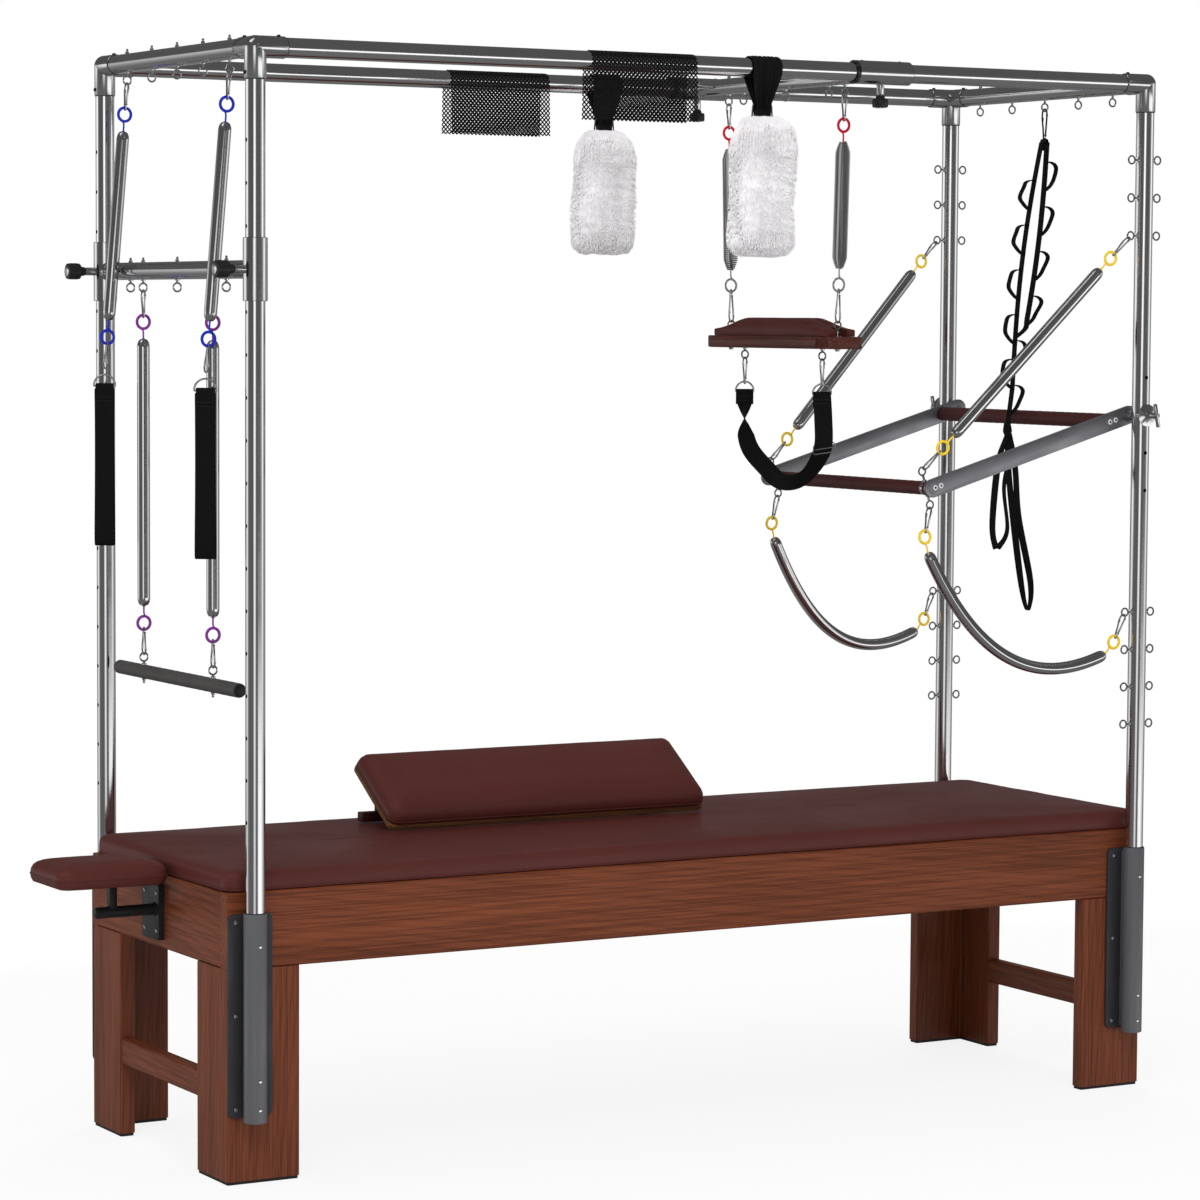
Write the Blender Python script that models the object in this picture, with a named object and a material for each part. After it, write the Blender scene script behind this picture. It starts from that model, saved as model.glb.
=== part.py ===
# Pilates trapeze table: padded wooden table under a steel tube frame, with a sliding lower
# crossbar, a sliding overhead crossbar, a swinging push bar, springs, straps and slings.
# Metres. +X runs along the table towards the push bar end, +Y to the far long side, +Z up.

import bpy
import bmesh
from math import sin, cos, pi, radians
from mathutils import Vector

# Table and legs
TABLE_LENGTH = 2.158
TABLE_WIDTH = 0.656
RAIL_TOP = 0.560
RAIL_HEIGHT = 0.147
RAIL_THICK = 0.030
LEG_RUN = 0.152
LEG_TURN = 0.140
LEG_THICK = 0.032
FOOT_HEIGHT = 0.006
FOOT_INSET = 0.002
STRETCHER_BOTTOM = 0.148
STRETCHER_HEIGHT = 0.052
STRETCHER_THICK = 0.028
STRETCHER_RECESS = 0.003
EDGE_RADIUS = 0.003
MATTRESS_THICK = 0.0445
MATTRESS_CROWN = 0.005
MATTRESS_INSET = 0.002
MATTRESS_CORNER = 0.032

# Steel frame
TUBE_RADIUS = 0.019
TUBE_WALL = 0.002
POST_INSET = 0.044
POST_STANDOFF = 0.032
FRAME_TOP = 2.150
FITTING_RADIUS = 0.021
FITTING_ARM = 0.060
SOCKET_RADIUS = 0.0225
SOCKET_BOTTOM = 0.124
SOCKET_TOP = 0.524
SOCKET_FLOOR = 0.0037
FLANGE_WIDTH = 0.092
FLANGE_THICK = 0.005
FLANGE_CORNER = 0.012
FLANGE_MARGIN = 0.006
WEB_WIDTH = 0.020
SCREW_RADIUS = 0.0045
SCREW_HEIGHT = 0.002

# Holes that the two sliding crossbars and the push bar can be pinned in
HOLE_PITCH = 0.080
HOLE_RADIUS = 0.0042
HOLES_ABOVE = 3
HOLES_BELOW = 13

# Eyebolts and snap hooks
EYE_RADIUS = 0.0085
EYE_WIRE = 0.0014
EYE_REACH = 0.015
SHANK_HALF = 0.0022
STUD_RADIUS = 0.0045
STUD_HEIGHT = 0.008
HOOK_WIRE = 0.0019
HOOK_SEAT = 0.0045
HOOK_SPAN = 0.068
RING_RADIUS = 0.0135
RING_WIRE = 0.0025
STEM_SPAN = 0.034
POST_EYE_TOP = FRAME_TOP - 0.160
POST_EYES_HIGH = 3
POST_EYE_LOW_TOP = FRAME_TOP - 1.120
POST_EYES_LOW = 4
END_EYE_PITCH = 0.1225

# Crossbars and their plunger knobs
BAR_RADIUS = 0.0175
LOW_BAR_HEIGHT = FRAME_TOP - 0.413
LOW_SLEEVE_RADIUS = 0.0235
LOW_SLEEVE_LENGTH = 0.118
TOP_BAR_X = 0.361
TOP_SLEEVE_RADIUS = 0.0240
TOP_SLEEVE_LENGTH = 0.134
SLIDE_CLEARANCE = 0.0005
COLLAR_RADIUS = 0.0195
COLLAR_LENGTH = 0.006
LOW_EYE_OUTER = 0.230
LOW_EYE_INNER = 0.167
TOP_EYE_OUTER = 0.228
TOP_EYE_INNER = 0.168
BOSS_RADIUS = 0.008
BOSS_LENGTH = 0.0205
KNOB_RADIUS = 0.016
LOW_KNOB_LENGTH = 0.040
TOP_KNOB_LENGTH = 0.026

# Push bar
PIVOT_HEIGHT = FRAME_TOP - 0.700
PUSH_LENGTH = 0.528
PUSH_DROP = 16.5
ARM_SPACING = 0.318
ARM_THICK = 0.008
ARM_HALF_HEIGHT = 0.019
FRONT_ROLL_RADIUS = 0.01425
REAR_ROLL_RADIUS = 0.0155
REAR_ROLL_BACK = 0.047
PIVOT_BOSS_RADIUS = 0.014
ROLL_EYE_Y = 0.296
ROLL_EYE_REACH = 0.0225
HANDLE_STEM = 0.006
HANDLE_REACH = 0.040
HANDLE_HALF = 0.025
HANDLE_WIRE = 0.0045

# Springs
SPRING_RADIUS = 0.0127
RED_SPRING_RADIUS = 0.0160
RED_WIRE = 0.0027
RED_CURLS = 11
CURL_POINTS = 8

LEAN_CLEARANCE = 0.0024
BLUE_DROP = 0.578
PURPLE_DROP = 0.735
RED_HOOK_SPAN = 0.084

# Trapeze, its strap and the roll-down bar
TRAPEZE_BOARD_TOP = FRAME_TOP - 0.528
TRAPEZE_BOARD_THICK = 0.034
TRAPEZE_BOARD_LENGTH = 0.600
TRAPEZE_BOARD_WIDTH = 0.110
TRAPEZE_PAD_LENGTH = 0.500
TRAPEZE_PAD_WIDTH = 0.090
TRAPEZE_PAD_THICK = 0.031
TRAPEZE_EYE_Y = 0.210
STRAP_EYE_Y = 0.153
ROLLDOWN_RADIUS = 0.014
ROLLDOWN_LENGTH = 0.585

# Straps, loops, slings and tube covers
STRAP_THICK = 0.0025
STRAP_WIDTH = 0.038
STRAP_DROP = 0.187
HAND_STRAP_LENGTH = 0.318
HAND_STRAP_WIDTH = 0.040
HAND_LOOP_GAP = 0.022
BUCKLE_HALF = (0.024, 0.0035, 0.011)
DEE_RADIUS = 0.0215
DEE_WIRE = 0.0020
SLING_X_NEAR = 0.078
SLING_X_FAR = 0.126
SLING_TOP = FRAME_TOP - 0.100
SLING_LENGTH = 0.275
SLING_WIDTH = 0.115
SLING_DEPTH = 0.085
COVER_LENGTH = 0.237
COVER_X_NEAR = -0.2045
COVER_X_FAR = -0.1385
COVER_DROP = 0.115
LADDER_WIDTH = 0.018
LADDER_THICK = 0.0030
LADDER_PITCH = 0.098
LADDER_LOOP_DROP = 0.063
LADDER_LOOP_REACH = 0.027
LADDER_LOOPS_RIGHT = 6
LADDER_LOOPS_LEFT = 5
LADDER_KNOT_DROP = 0.706
LADDER_LEAN = 0.089
LADDER_JOIN_DROP = 0.504
LADDER_MERGE = 0.026

# Headrest and tilted cushion
HEADREST_LENGTH = 0.231
HEADREST_WIDTH = 0.180
HEADREST_GAP = 0.009
HEADREST_BASE = 0.547
HEADREST_THICK = 0.050
BRACKET_WIDTH = 0.080
BRACKET_HEIGHT = 0.110
BRACKET_THICK = 0.012
BRACKET_BASE = 0.430
PEG_RADIUS = 0.01125
PEG_HEIGHT = 0.490
PEG_LENGTH = 0.121
CUSHION_LENGTH = 0.705
CUSHION_CENTRE_X = -0.1725
CUSHION_DEPTH = 0.190
CUSHION_FRONT_Y = 0.050
CUSHION_TILT = 33.0
CUSHION_BOARD = 0.010
CUSHION_THICK = 0.040
PROP_HINGE_BACK = 0.180

# Gap left between touching pieces, and facets round a tube
GAP = 0.0003
TUBE_SIDES = 14
ROUND_SIDES = 8
COIL_SIDES = 7
EYE_SIDES = 6
WIRE_SIDES = 3
STUD_SIDES = 5
WIRE_HALF = cos(pi / 6)

# Positions that follow from the sizes above
TABLE_X = TABLE_LENGTH / 2
TABLE_Y = TABLE_WIDTH / 2
RAIL_BASE = RAIL_TOP - RAIL_HEIGHT
POST_X = TABLE_X - POST_INSET
POST_Y = TABLE_Y + POST_STANDOFF
MATTRESS_TOP = RAIL_TOP + GAP + MATTRESS_THICK
HEADREST_END = TABLE_X + HEADREST_GAP + HEADREST_LENGTH
CENTRE_SHIFT = (HEADREST_END - TABLE_X) / 2

X = Vector((1, 0, 0))
Y = Vector((0, 1, 0))
Z = Vector((0, 0, 1))

STEEL = ("steel", (0.62, 0.62, 0.63), 0.22, 1.0)
CHROME = ("chrome", (0.80, 0.80, 0.82), 0.12, 1.0)
SOCKET_GREY = ("socket_grey", (0.13, 0.15, 0.16), 0.42, 0.6)
ARM_GREY = ("arm_grey", (0.26, 0.26, 0.29), 0.38, 0.8)
WALNUT = ("walnut", (0.17, 0.070, 0.035), 0.42, 0.0)
LEATHER = ("leather", (0.10, 0.032, 0.028), 0.48, 0.0)
ROLL_BROWN = ("roll_brown", (0.085, 0.025, 0.025), 0.55, 0.0)
BLACK = ("black", (0.012, 0.012, 0.013), 0.45, 0.0)
WEBBING = ("webbing", (0.010, 0.010, 0.012), 0.80, 0.0)
MESH_CLOTH = ("mesh_cloth", (0.020, 0.018, 0.020), 0.85, 0.0)
FLEECE = ("fleece", (0.82, 0.80, 0.80), 0.95, 0.0)
BOARD_EDGE = ("board_edge", (0.45, 0.27, 0.12), 0.55, 0.0)
GRIP = ("grip", (0.060, 0.056, 0.056), 0.60, 0.0)


# Scene start
for old in list(bpy.data.objects):
    bpy.data.objects.remove(old, do_unlink=True)

SCENE = bpy.context.scene.collection
PAINTS = {}


def paint(recipe):
    """Material for one kind of surface, made once."""
    name, colour, roughness, metallic = recipe
    if name not in PAINTS:
        made = bpy.data.materials.new(name)
        made.use_nodes = True
        shader = made.node_tree.nodes["Principled BSDF"]
        shader.inputs["Base Color"].default_value = (*colour, 1.0)
        shader.inputs["Roughness"].default_value = roughness
        shader.inputs["Metallic"].default_value = metallic
        PAINTS[name] = made
    return PAINTS[name]


def axis_empty(name, place, parent=None, turn=(0.0, 0.0, 0.0)):
    """Empty that carries a group of pieces."""
    empty = bpy.data.objects.new(name, None)
    empty.location = place
    empty.rotation_euler = turn
    empty.parent = parent
    SCENE.objects.link(empty)
    return empty


FRAME = axis_empty("table_frame", (CENTRE_SHIFT, 0.0, 0.0))


class Piece:
    """One sub-part, drawn in its parent's frame and stored about its own pivot."""

    def __init__(self, name, mesh, recipe, pivot=(0.0, 0.0, 0.0), parent=None):
        self.pivot = Vector(pivot)
        self.parent = parent or FRAME
        self.name = name
        self.body = self.make(name, mesh)
        self.body.data.materials.append(paint(recipe))

    def make(self, name, mesh):
        bmesh.ops.recalc_face_normals(mesh, faces=mesh.faces[:])
        bmesh.ops.translate(mesh, vec=-self.pivot, verts=mesh.verts[:])
        data = bpy.data.meshes.new(name)
        mesh.to_mesh(data)
        mesh.free()
        data.shade_smooth()
        data.set_sharp_from_angle(angle=radians(40))
        made = bpy.data.objects.new(name, data)
        made.location = self.pivot
        made.parent = self.parent
        SCENE.objects.link(made)
        return made

    def shape(self, mesh, operation):
        tool = self.make(self.name + "_tool", mesh)
        tool.hide_render = True
        tool.display_type = "WIRE"
        step = self.body.modifiers.new(operation.lower(), "BOOLEAN")
        step.operation = operation
        step.solver = "EXACT"
        step.use_self = True
        step.object = tool
        return self

    def add(self, mesh):
        return self.shape(mesh, "UNION")

    def cut(self, mesh):
        return self.shape(mesh, "DIFFERENCE")


def skin(mesh, rings, loop=False):
    """Closed body through a row of equal rings of points."""
    rows = [[mesh.verts.new(point) for point in ring] for ring in rings]
    count = len(rows[0])
    spans = len(rows) if loop else len(rows) - 1
    for i in range(spans):
        a = rows[i]
        b = rows[(i + 1) % len(rows)]
        for j in range(count):
            k = (j + 1) % count
            mesh.faces.new((a[j], a[k], b[k], b[j]))
    if not loop:
        mesh.faces.new(rows[0])
        mesh.faces.new(rows[-1])
    return mesh


def sides_of(axis):
    """Two directions square to an axis."""
    guide = X if abs(axis.z) > 0.9 else Z
    u = (guide - axis * guide.dot(axis)).normalized()
    return u, axis.cross(u)


def circle(centre, u, v, radius, count):
    points = []
    for i in range(count):
        angle = 2 * pi * i / count
        points.append(centre + u * (radius * cos(angle)) + v * (radius * sin(angle)))
    return points


def lathe(mesh, base, axis, profile, count=TUBE_SIDES):
    """Turned body from (radius, distance along the axis) pairs."""
    base = Vector(base)
    u, v = sides_of(axis)
    return skin(mesh, [circle(base + axis * far, u, v, radius, count) for radius, far in profile])


def pipe(mesh, start, end, outer, inner, count=TUBE_SIDES):
    """Tube with an open bore."""
    start = Vector(start)
    end = Vector(end)
    u, v = sides_of((end - start).normalized())
    rings = [circle(start, u, v, outer, count), circle(end, u, v, outer, count)]
    rings += [circle(end, u, v, inner, count), circle(start, u, v, inner, count)]
    return skin(mesh, rings, loop=True)


def box(mesh, x0, x1, y0, y1, z0, z1):
    rings = []
    for z in (z0, z1):
        rings.append([Vector(p) for p in ((x0, y0, z), (x1, y0, z), (x1, y1, z), (x0, y1, z))])
    return skin(mesh, rings)


def prism(mesh, outline, along, start, end):
    """Flat outline of points pushed along an axis."""
    rings = [[point + along * far for point in outline] for far in (start, end)]
    return skin(mesh, rings)


def rounded(corners, radius, steps=1):
    """Polygon of points with each corner replaced by an arc."""
    points = []
    count = len(corners)
    for i, corner in enumerate(corners):
        back = (corners[i - 1] - corner).normalized()
        ahead = (corners[(i + 1) % count] - corner).normalized()
        centre = corner + (back + ahead) * radius
        for step in range(steps + 1):
            angle = 0.5 * pi * step / steps
            points.append(centre - ahead * (radius * cos(angle)) - back * (radius * sin(angle)))
    return points


def rectangle(u, v, u0, u1, v0, v1):
    return [u * u0 + v * v0, u * u1 + v * v0, u * u1 + v * v1, u * u0 + v * v1]


def cushion(mesh, u, v, up, size, corner, levels, steps=3):
    """Upholstered pad: a rounded rectangle drawn in by (u inset, v inset, height) levels."""
    u0, u1, v0, v1 = size
    rings = []
    for inset_u, inset_v, height in levels:
        corners = rectangle(u, v, u0 + inset_u, u1 - inset_u, v0 + inset_v, v1 - inset_v)
        ring = rounded(corners, max(corner - min(inset_u, inset_v), 0.3 * corner), steps)
        rings.append([point + up * height for point in ring])
    return skin(mesh, rings)


def turn_scale(before, after):
    """Widening that keeps a swept section true at a bend."""
    half = before.angle(after, 0.0) / 2
    return 1.0 / max(cos(half), 0.55)


def directions(points, loop):
    """Mean direction and bend widening at each point of a path."""
    count = len(points)
    found = []
    for i in range(count):
        before = points[i] - points[i - 1] if (i or loop) else points[1] - points[0]
        after = points[(i + 1) % count] - points[i] if (i < count - 1 or loop) else before
        mean = (before.normalized() + after.normalized()).normalized()
        found.append((mean, turn_scale(before, after)))
    return found


def sweep(mesh, points, radii, normal, count=4, loop=False):
    """Round bar along a path; the normal is square to the plane the path bends in."""
    if not isinstance(radii, (list, tuple)):
        radii = [radii] * len(points)
    rings = []
    for point, radius, (along, wide) in zip(points, radii, directions(points, loop)):
        flat = (normal - along * normal.dot(along)).normalized()
        side = along.cross(flat)
        ring = []
        for i in range(count):
            angle = 2 * pi * (i + 0.5) / count
            ring.append(point + flat * (radius * cos(angle)) + side * (radius * wide * sin(angle)))
        rings.append(ring)
    return skin(mesh, rings, loop)


def band(mesh, points, across, widths, thick, loop=False):
    """Flat strap along a path, with its own width direction at each point."""
    rows = []
    for point, flat, width, (along, wide) in zip(points, across, widths, directions(points, loop)):
        flat = (flat - along * flat.dot(along)).normalized()
        face = along.cross(flat)
        half = flat * (width / 2)
        skin_half = face * (thick * wide / 2)
        corners = (half + skin_half, half - skin_half, -half - skin_half, -half + skin_half)
        rows.append([mesh.verts.new(point + corner) for corner in corners])
    pairs = list(zip(rows, rows[1:]))
    if loop:
        pairs.append((rows[-1], rows[0]))
    else:
        mesh.faces.new(rows[0])
        mesh.faces.new(rows[-1])
    # The two broad faces are split along the same diagonal, so a twist keeps its thickness
    for a, b in pairs:
        mesh.faces.new((a[0], a[1], b[1], b[0]))
        mesh.faces.new((a[2], a[3], b[3], b[2]))
        mesh.faces.new((a[1], a[2], b[2]))
        mesh.faces.new((a[1], b[2], b[1]))
        mesh.faces.new((a[3], a[0], b[3]))
        mesh.faces.new((a[0], b[0], b[3]))
    return mesh


def eye(mesh, centre, toward, normal, root):
    """Eyebolt: a ring and a shank that ends at the root distance from the ring's centre."""
    count = EYE_SIDES
    side = normal.cross(toward)
    out = EYE_RADIUS + EYE_WIRE
    into = EYE_RADIUS - EYE_WIRE
    rows = []
    for i in range(count):
        angle = 2 * pi * (i + 0.5) / count
        radial = toward * cos(angle) + side * sin(angle)
        row = []
        for distance, lift in ((out, 1), (out, -1), (into, 0)):
            row.append(mesh.verts.new(centre + radial * distance + normal * (lift * EYE_WIRE)))
        rows.append(row)
    for i in range(count):
        a = rows[i]
        b = rows[(i + 1) % count]
        for j in range(3):
            k = (j + 1) % 3
            if i == count - 1 and j == 0:
                continue
            mesh.faces.new((a[j], a[k], b[k], b[j]))
    end = centre + toward * root
    foot = []
    for along, lift in ((-1, 1), (-1, -1), (1, -1), (1, 1)):
        foot.append(mesh.verts.new(end + (side * along + normal * lift) * SHANK_HALF))
    neck = [rows[-1][0], rows[-1][1], rows[0][1], rows[0][0]]
    for j in range(4):
        k = (j + 1) % 4
        mesh.faces.new((neck[j], neck[k], foot[k], foot[j]))
    mesh.faces.new(foot)
    return mesh


def stud(mesh, place, out, radius=STUD_RADIUS, height=STUD_HEIGHT, root=0.001):
    """Small domed nut or screw head on a surface."""
    return lathe(mesh, place, out, [(radius, -root), (0.7 * radius, height)], STUD_SIDES)


def hook(mesh, near, far):
    """Snap hook: a long closed loop, widest towards its near end."""
    along = (far - near).normalized()
    across = (Y - along * Y.dot(along)).normalized()
    flat = across.cross(along)
    wide = near.lerp(far, 0.28)
    points = [near - across * 0.0045, near + across * 0.0045, wide + across * 0.0075]
    points += [far, wide - across * 0.0075]
    return sweep(mesh, points, HOOK_WIRE, flat, WIRE_SIDES, loop=True)


def wire_ring(mesh, centre, along, radius=RING_RADIUS, wire=RING_WIRE):
    """Ring in the upright plane that holds its hanging direction."""
    across = (Y - along * Y.dot(along)).normalized()
    side = across.cross(along)
    path = []
    for i in range(8):
        angle = 2 * pi * (i + 0.5) / 8
        path.append(centre + along * (radius * cos(angle)) + side * (radius * sin(angle)))
    return sweep(mesh, path, wire, across, WIRE_SIDES, loop=True)


def stem(mesh, ring_centre, coil_end):
    """Cone that carries a spring's end ring into its coil."""
    along = (coil_end - ring_centre).normalized()
    reach = (coil_end - ring_centre).length
    profile = [(0.0022, RING_RADIUS * cos(pi / 8)), (0.0030, reach + 0.004)]
    return lathe(mesh, ring_centre, along, profile, 4)


def link_up(mesh, eye_centre, ring_centre):
    """Hook between an eye and a spring ring, fused to the ring only."""
    along = (ring_centre - eye_centre).normalized()
    inner = RING_RADIUS * cos(pi / 8) - RING_WIRE * WIRE_HALF
    far = ring_centre - along * (inner - HOOK_WIRE * WIRE_HALF + 0.0006)
    return hook(mesh, eye_centre + along * HOOK_SEAT, far)


def tapered(count, radius, wire=0.0):
    """Radius along a coil that closes in at both ends."""
    found = []
    for i in range(count):
        edge = min(i, count - 1 - i) / (count - 1)
        share = min(1.0, 0.50 + edge / 0.12 * 0.50)
        found.append((radius - wire) * share)
    return found


def line_points(start, end, shares):
    return [start.lerp(end, share) for share in shares]


def carried_sweep(mesh, points, radius, count):
    """Round wire along a free path, its section carried on without twist."""
    found = directions(points, False)
    flat = sides_of(found[0][0])[0]
    rings = []
    for point, (along, widening) in zip(points, found):
        flat = (flat - along * flat.dot(along)).normalized()
        side = along.cross(flat)
        rings.append(circle(point, flat, side, radius, count))
    return skin(mesh, rings)


def coil_wire(mesh, rings, start, end, radius, curls, wire):
    """Open coil wound as one unbroken wire, led in to the ring at each end."""
    along = (end - start).normalized()
    u, v = sides_of(along)
    count = curls * CURL_POINTS + 1
    radii = tapered(count, radius, wire)
    points = []
    for i in range(count):
        angle = 2 * pi * i / CURL_POINTS
        place = start.lerp(end, i / (count - 1))
        points.append(place + u * (radii[i] * cos(angle)) + v * (radii[i] * sin(angle)))
    gap = (end - start).length / curls - 2 * wire
    print("gap between neighbouring curls, mm:", round(gap * 1000, 2))
    lead = RING_RADIUS * cos(pi / 8)
    first = [rings[0] + along * lead, start - along * 0.010]
    last = [end + along * 0.010, rings[1] - along * lead]
    return carried_sweep(mesh, first + points + last, wire, 6)


def spring_piece(name, ends, rings, path, radius, pivot, parent=None, curls=0):
    """Spring unit: hook, ring, coil, ring and hook, fused into one hanging piece."""
    mesh = bmesh.new()
    start = path[0]
    end = path[-1]
    if curls:
        coil_wire(mesh, rings, start, end, radius, curls, RED_WIRE)
    else:
        lengths = [0.0]
        for i in range(1, len(path)):
            lengths.append(lengths[-1] + (path[i] - path[i - 1]).length)
        radii = []
        for far in lengths:
            near_end = min(far, lengths[-1] - far)
            radii.append(radius * min(1.0, 0.42 + 0.58 * near_end / 0.018))
        sweep(mesh, path, radii, Y, COIL_SIDES)
    made = Piece(name, mesh, CHROME, pivot, parent)
    extra = bmesh.new()
    for end_eye, ring, tip in ((ends[0], rings[0], start), (ends[1], rings[1], end)):
        wire_ring(extra, ring, (tip - ring).normalized())
        if not curls:
            stem(extra, ring, tip)
        link_up(extra, end_eye, ring)
    return made.add(extra)


def straight_spring(name, top, bottom, radius, pivot, parent=None, curls=0, low_span=HOOK_SPAN):
    """Spring stretched straight between two eyes."""
    along = (bottom - top).normalized()
    ring_a = top + along * HOOK_SPAN
    ring_b = bottom - along * low_span
    start = ring_a + along * STEM_SPAN
    end = ring_b - along * STEM_SPAN
    lead = 0.018 / (end - start).length
    path = line_points(start, end, (0.0, 0.35 * lead, lead, 1 - lead, 1 - 0.35 * lead, 1.0))
    return spring_piece(name, (top, bottom), (ring_a, ring_b), path, radius, pivot, parent, curls)


def bezier(a, b, c, d, t):
    s = 1 - t
    return a * (s ** 3) + b * (3 * s * s * t) + c * (3 * s * t * t) + d * (t ** 3)


def dee(mesh, bar_centre, bar, up, radius=DEE_RADIUS):
    """D-ring: a straight bar closed by a half circle."""
    normal = bar.cross(up)
    points = [bar_centre - bar * radius, bar_centre + bar * radius]
    for i in range(5):
        angle = pi * (i + 1) / 6
        points.append(bar_centre + bar * (radius * cos(angle)) + up * (radius * sin(angle)))
    return sweep(mesh, points, DEE_WIRE, normal, WIRE_SIDES, loop=True)


# Table: legs, rails, stretchers and mattress
def leg_outline(sx, sy, inset):
    """L seen from above, from the outer corner inwards."""
    far_x = TABLE_X - inset
    far_y = TABLE_Y - inset
    near_x = TABLE_X - LEG_RUN + inset
    near_y = TABLE_Y - LEG_TURN + inset
    in_x = TABLE_X - LEG_THICK + inset
    in_y = TABLE_Y - LEG_THICK + inset
    flat = ((far_x, far_y), (near_x, far_y), (near_x, in_y), (in_x, in_y), (in_x, near_y), (far_x, near_y))
    return rounded([Vector((sx * px, sy * py, 0)) for px, py in flat], EDGE_RADIUS * 0.8)


def table_leg(name, sx, sy):
    foot = leg_outline(sx, sy, FOOT_INSET)
    body = leg_outline(sx, sy, 0.0)
    rings = [[p.copy() for p in foot], [p + Z * FOOT_HEIGHT for p in foot]]
    rings += [[p + Z * FOOT_HEIGHT for p in body], [p + Z * (RAIL_BASE - GAP) for p in body]]
    return Piece(name, skin(bmesh.new(), rings), WALNUT, (sx * POST_X, sy * (TABLE_Y - LEG_THICK), 0))


for end_name, sx in (("left", -1), ("right", 1)):
    for side_name, sy in (("near", -1), ("far", 1)):
        table_leg("leg_%s_%s" % (end_name, side_name), sx, sy)

for side_name, sy in (("near", -1), ("far", 1)):
    inner = sy * (TABLE_Y - RAIL_THICK)
    outline = rounded(rectangle(Y, Z, inner, sy * TABLE_Y, RAIL_BASE, RAIL_TOP), EDGE_RADIUS)
    rail = prism(bmesh.new(), outline, X, -TABLE_X, TABLE_X)
    Piece("rail_long_" + side_name, rail, WALNUT, (0, sy * TABLE_Y, RAIL_BASE))

for end_name, sx in (("left", -1), ("right", 1)):
    half = TABLE_Y - RAIL_THICK - GAP
    inner = sx * (TABLE_X - RAIL_THICK)
    outline = rounded(rectangle(X, Z, inner, sx * TABLE_X, RAIL_BASE, RAIL_TOP), EDGE_RADIUS)
    Piece("rail_end_" + end_name, prism(bmesh.new(), outline, Y, -half, half), WALNUT,
          (sx * TABLE_X, 0, RAIL_BASE))
    outer = sx * (TABLE_X - STRETCHER_RECESS)
    inner = sx * (TABLE_X - STRETCHER_RECESS - STRETCHER_THICK)
    top = STRETCHER_BOTTOM + STRETCHER_HEIGHT
    outline = rounded(rectangle(X, Z, inner, outer, STRETCHER_BOTTOM, top), EDGE_RADIUS)
    half = TABLE_Y - LEG_TURN - GAP
    Piece("stretcher_" + end_name, prism(bmesh.new(), outline, Y, -half, half), WALNUT,
          (outer, 0, STRETCHER_BOTTOM))

base = RAIL_TOP + GAP
side = MATTRESS_THICK - MATTRESS_CROWN
mattress_levels = [(0.004, 0.004, 0.0), (0.0, 0.0, 0.006), (0.0, 0.0, side - 0.012)]
mattress_levels += [(0.004, 0.004, side - 0.004), (0.014, 0.014, side)]
mattress_levels += [(0.060, 0.060, side + 0.6 * MATTRESS_CROWN), (0.150, 0.150, side + MATTRESS_CROWN)]
half_x = TABLE_X - MATTRESS_INSET
half_y = TABLE_Y - MATTRESS_INSET
mattress = cushion(bmesh.new(), X, Y, Z, (-half_x, half_x, -half_y, half_y), MATTRESS_CORNER,
                   [(a, b, base + c) for a, b, c in mattress_levels], 3)
Piece("mattress", mattress, LEATHER, (0, 0, base))


# Sockets bolted to the legs, that hold the posts
def socket(name, sx, sy):
    x = sx * POST_X
    y = sy * POST_Y
    face = TABLE_Y + GAP
    span = SOCKET_TOP - SOCKET_BOTTOM
    body = lathe(bmesh.new(), (x, y, SOCKET_BOTTOM), Z, [(SOCKET_RADIUS, 0), (SOCKET_RADIUS, span)])
    made = Piece(name, body, SOCKET_GREY, (x, y, SOCKET_BOTTOM))
    edge = FLANGE_WIDTH / 2
    middle = sx * (TABLE_X - edge)
    low = SOCKET_BOTTOM + FLANGE_MARGIN
    high = SOCKET_TOP - FLANGE_MARGIN * 0.7
    extra = bmesh.new()
    plate = rounded(rectangle(X, Z, middle - edge, middle + edge, low, high), FLANGE_CORNER)
    prism(extra, plate, Y, sy * face, sy * (face + FLANGE_THICK))
    web_y0 = sy * (face + FLANGE_THICK / 2)
    web_y1 = sy * (POST_Y - SOCKET_RADIUS * 0.9)
    box(extra, x - WEB_WIDTH / 2, x + WEB_WIDTH / 2, *sorted((web_y0, web_y1)), low + 0.004, high - 0.004)
    inset = 0.016
    for px in (middle - edge + inset, middle + edge - inset):
        for pz in (low + inset, high - inset):
            place = Vector((px, sy * (face + FLANGE_THICK), pz))
            stud(extra, place, Y * sy, SCREW_RADIUS, SCREW_HEIGHT)
    made.add(extra)
    bore = [(TUBE_RADIUS + GAP, SOCKET_FLOOR), (TUBE_RADIUS + GAP, span + 0.01)]
    made.cut(lathe(bmesh.new(), (x, y, SOCKET_BOTTOM), Z, bore))


for end_name, sx in (("left", -1), ("right", 1)):
    for side_name, sy in (("near", -1), ("far", 1)):
        socket("socket_%s_%s" % (end_name, side_name), sx, sy)


# Posts: the left pair drilled for the lower crossbar, the right pair with eyebolts
POST_FOOT = SOCKET_BOTTOM + SOCKET_FLOOR + GAP
POST_HEAD = FRAME_TOP - FITTING_ARM - GAP
SIDE_EYE = TUBE_RADIUS + EYE_REACH


def post_eye_heights():
    high = [POST_EYE_TOP - HOLE_PITCH * i for i in range(POST_EYES_HIGH)]
    low = [POST_EYE_LOW_TOP - HOLE_PITCH * i for i in range(POST_EYES_LOW)]
    return high + low


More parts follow.
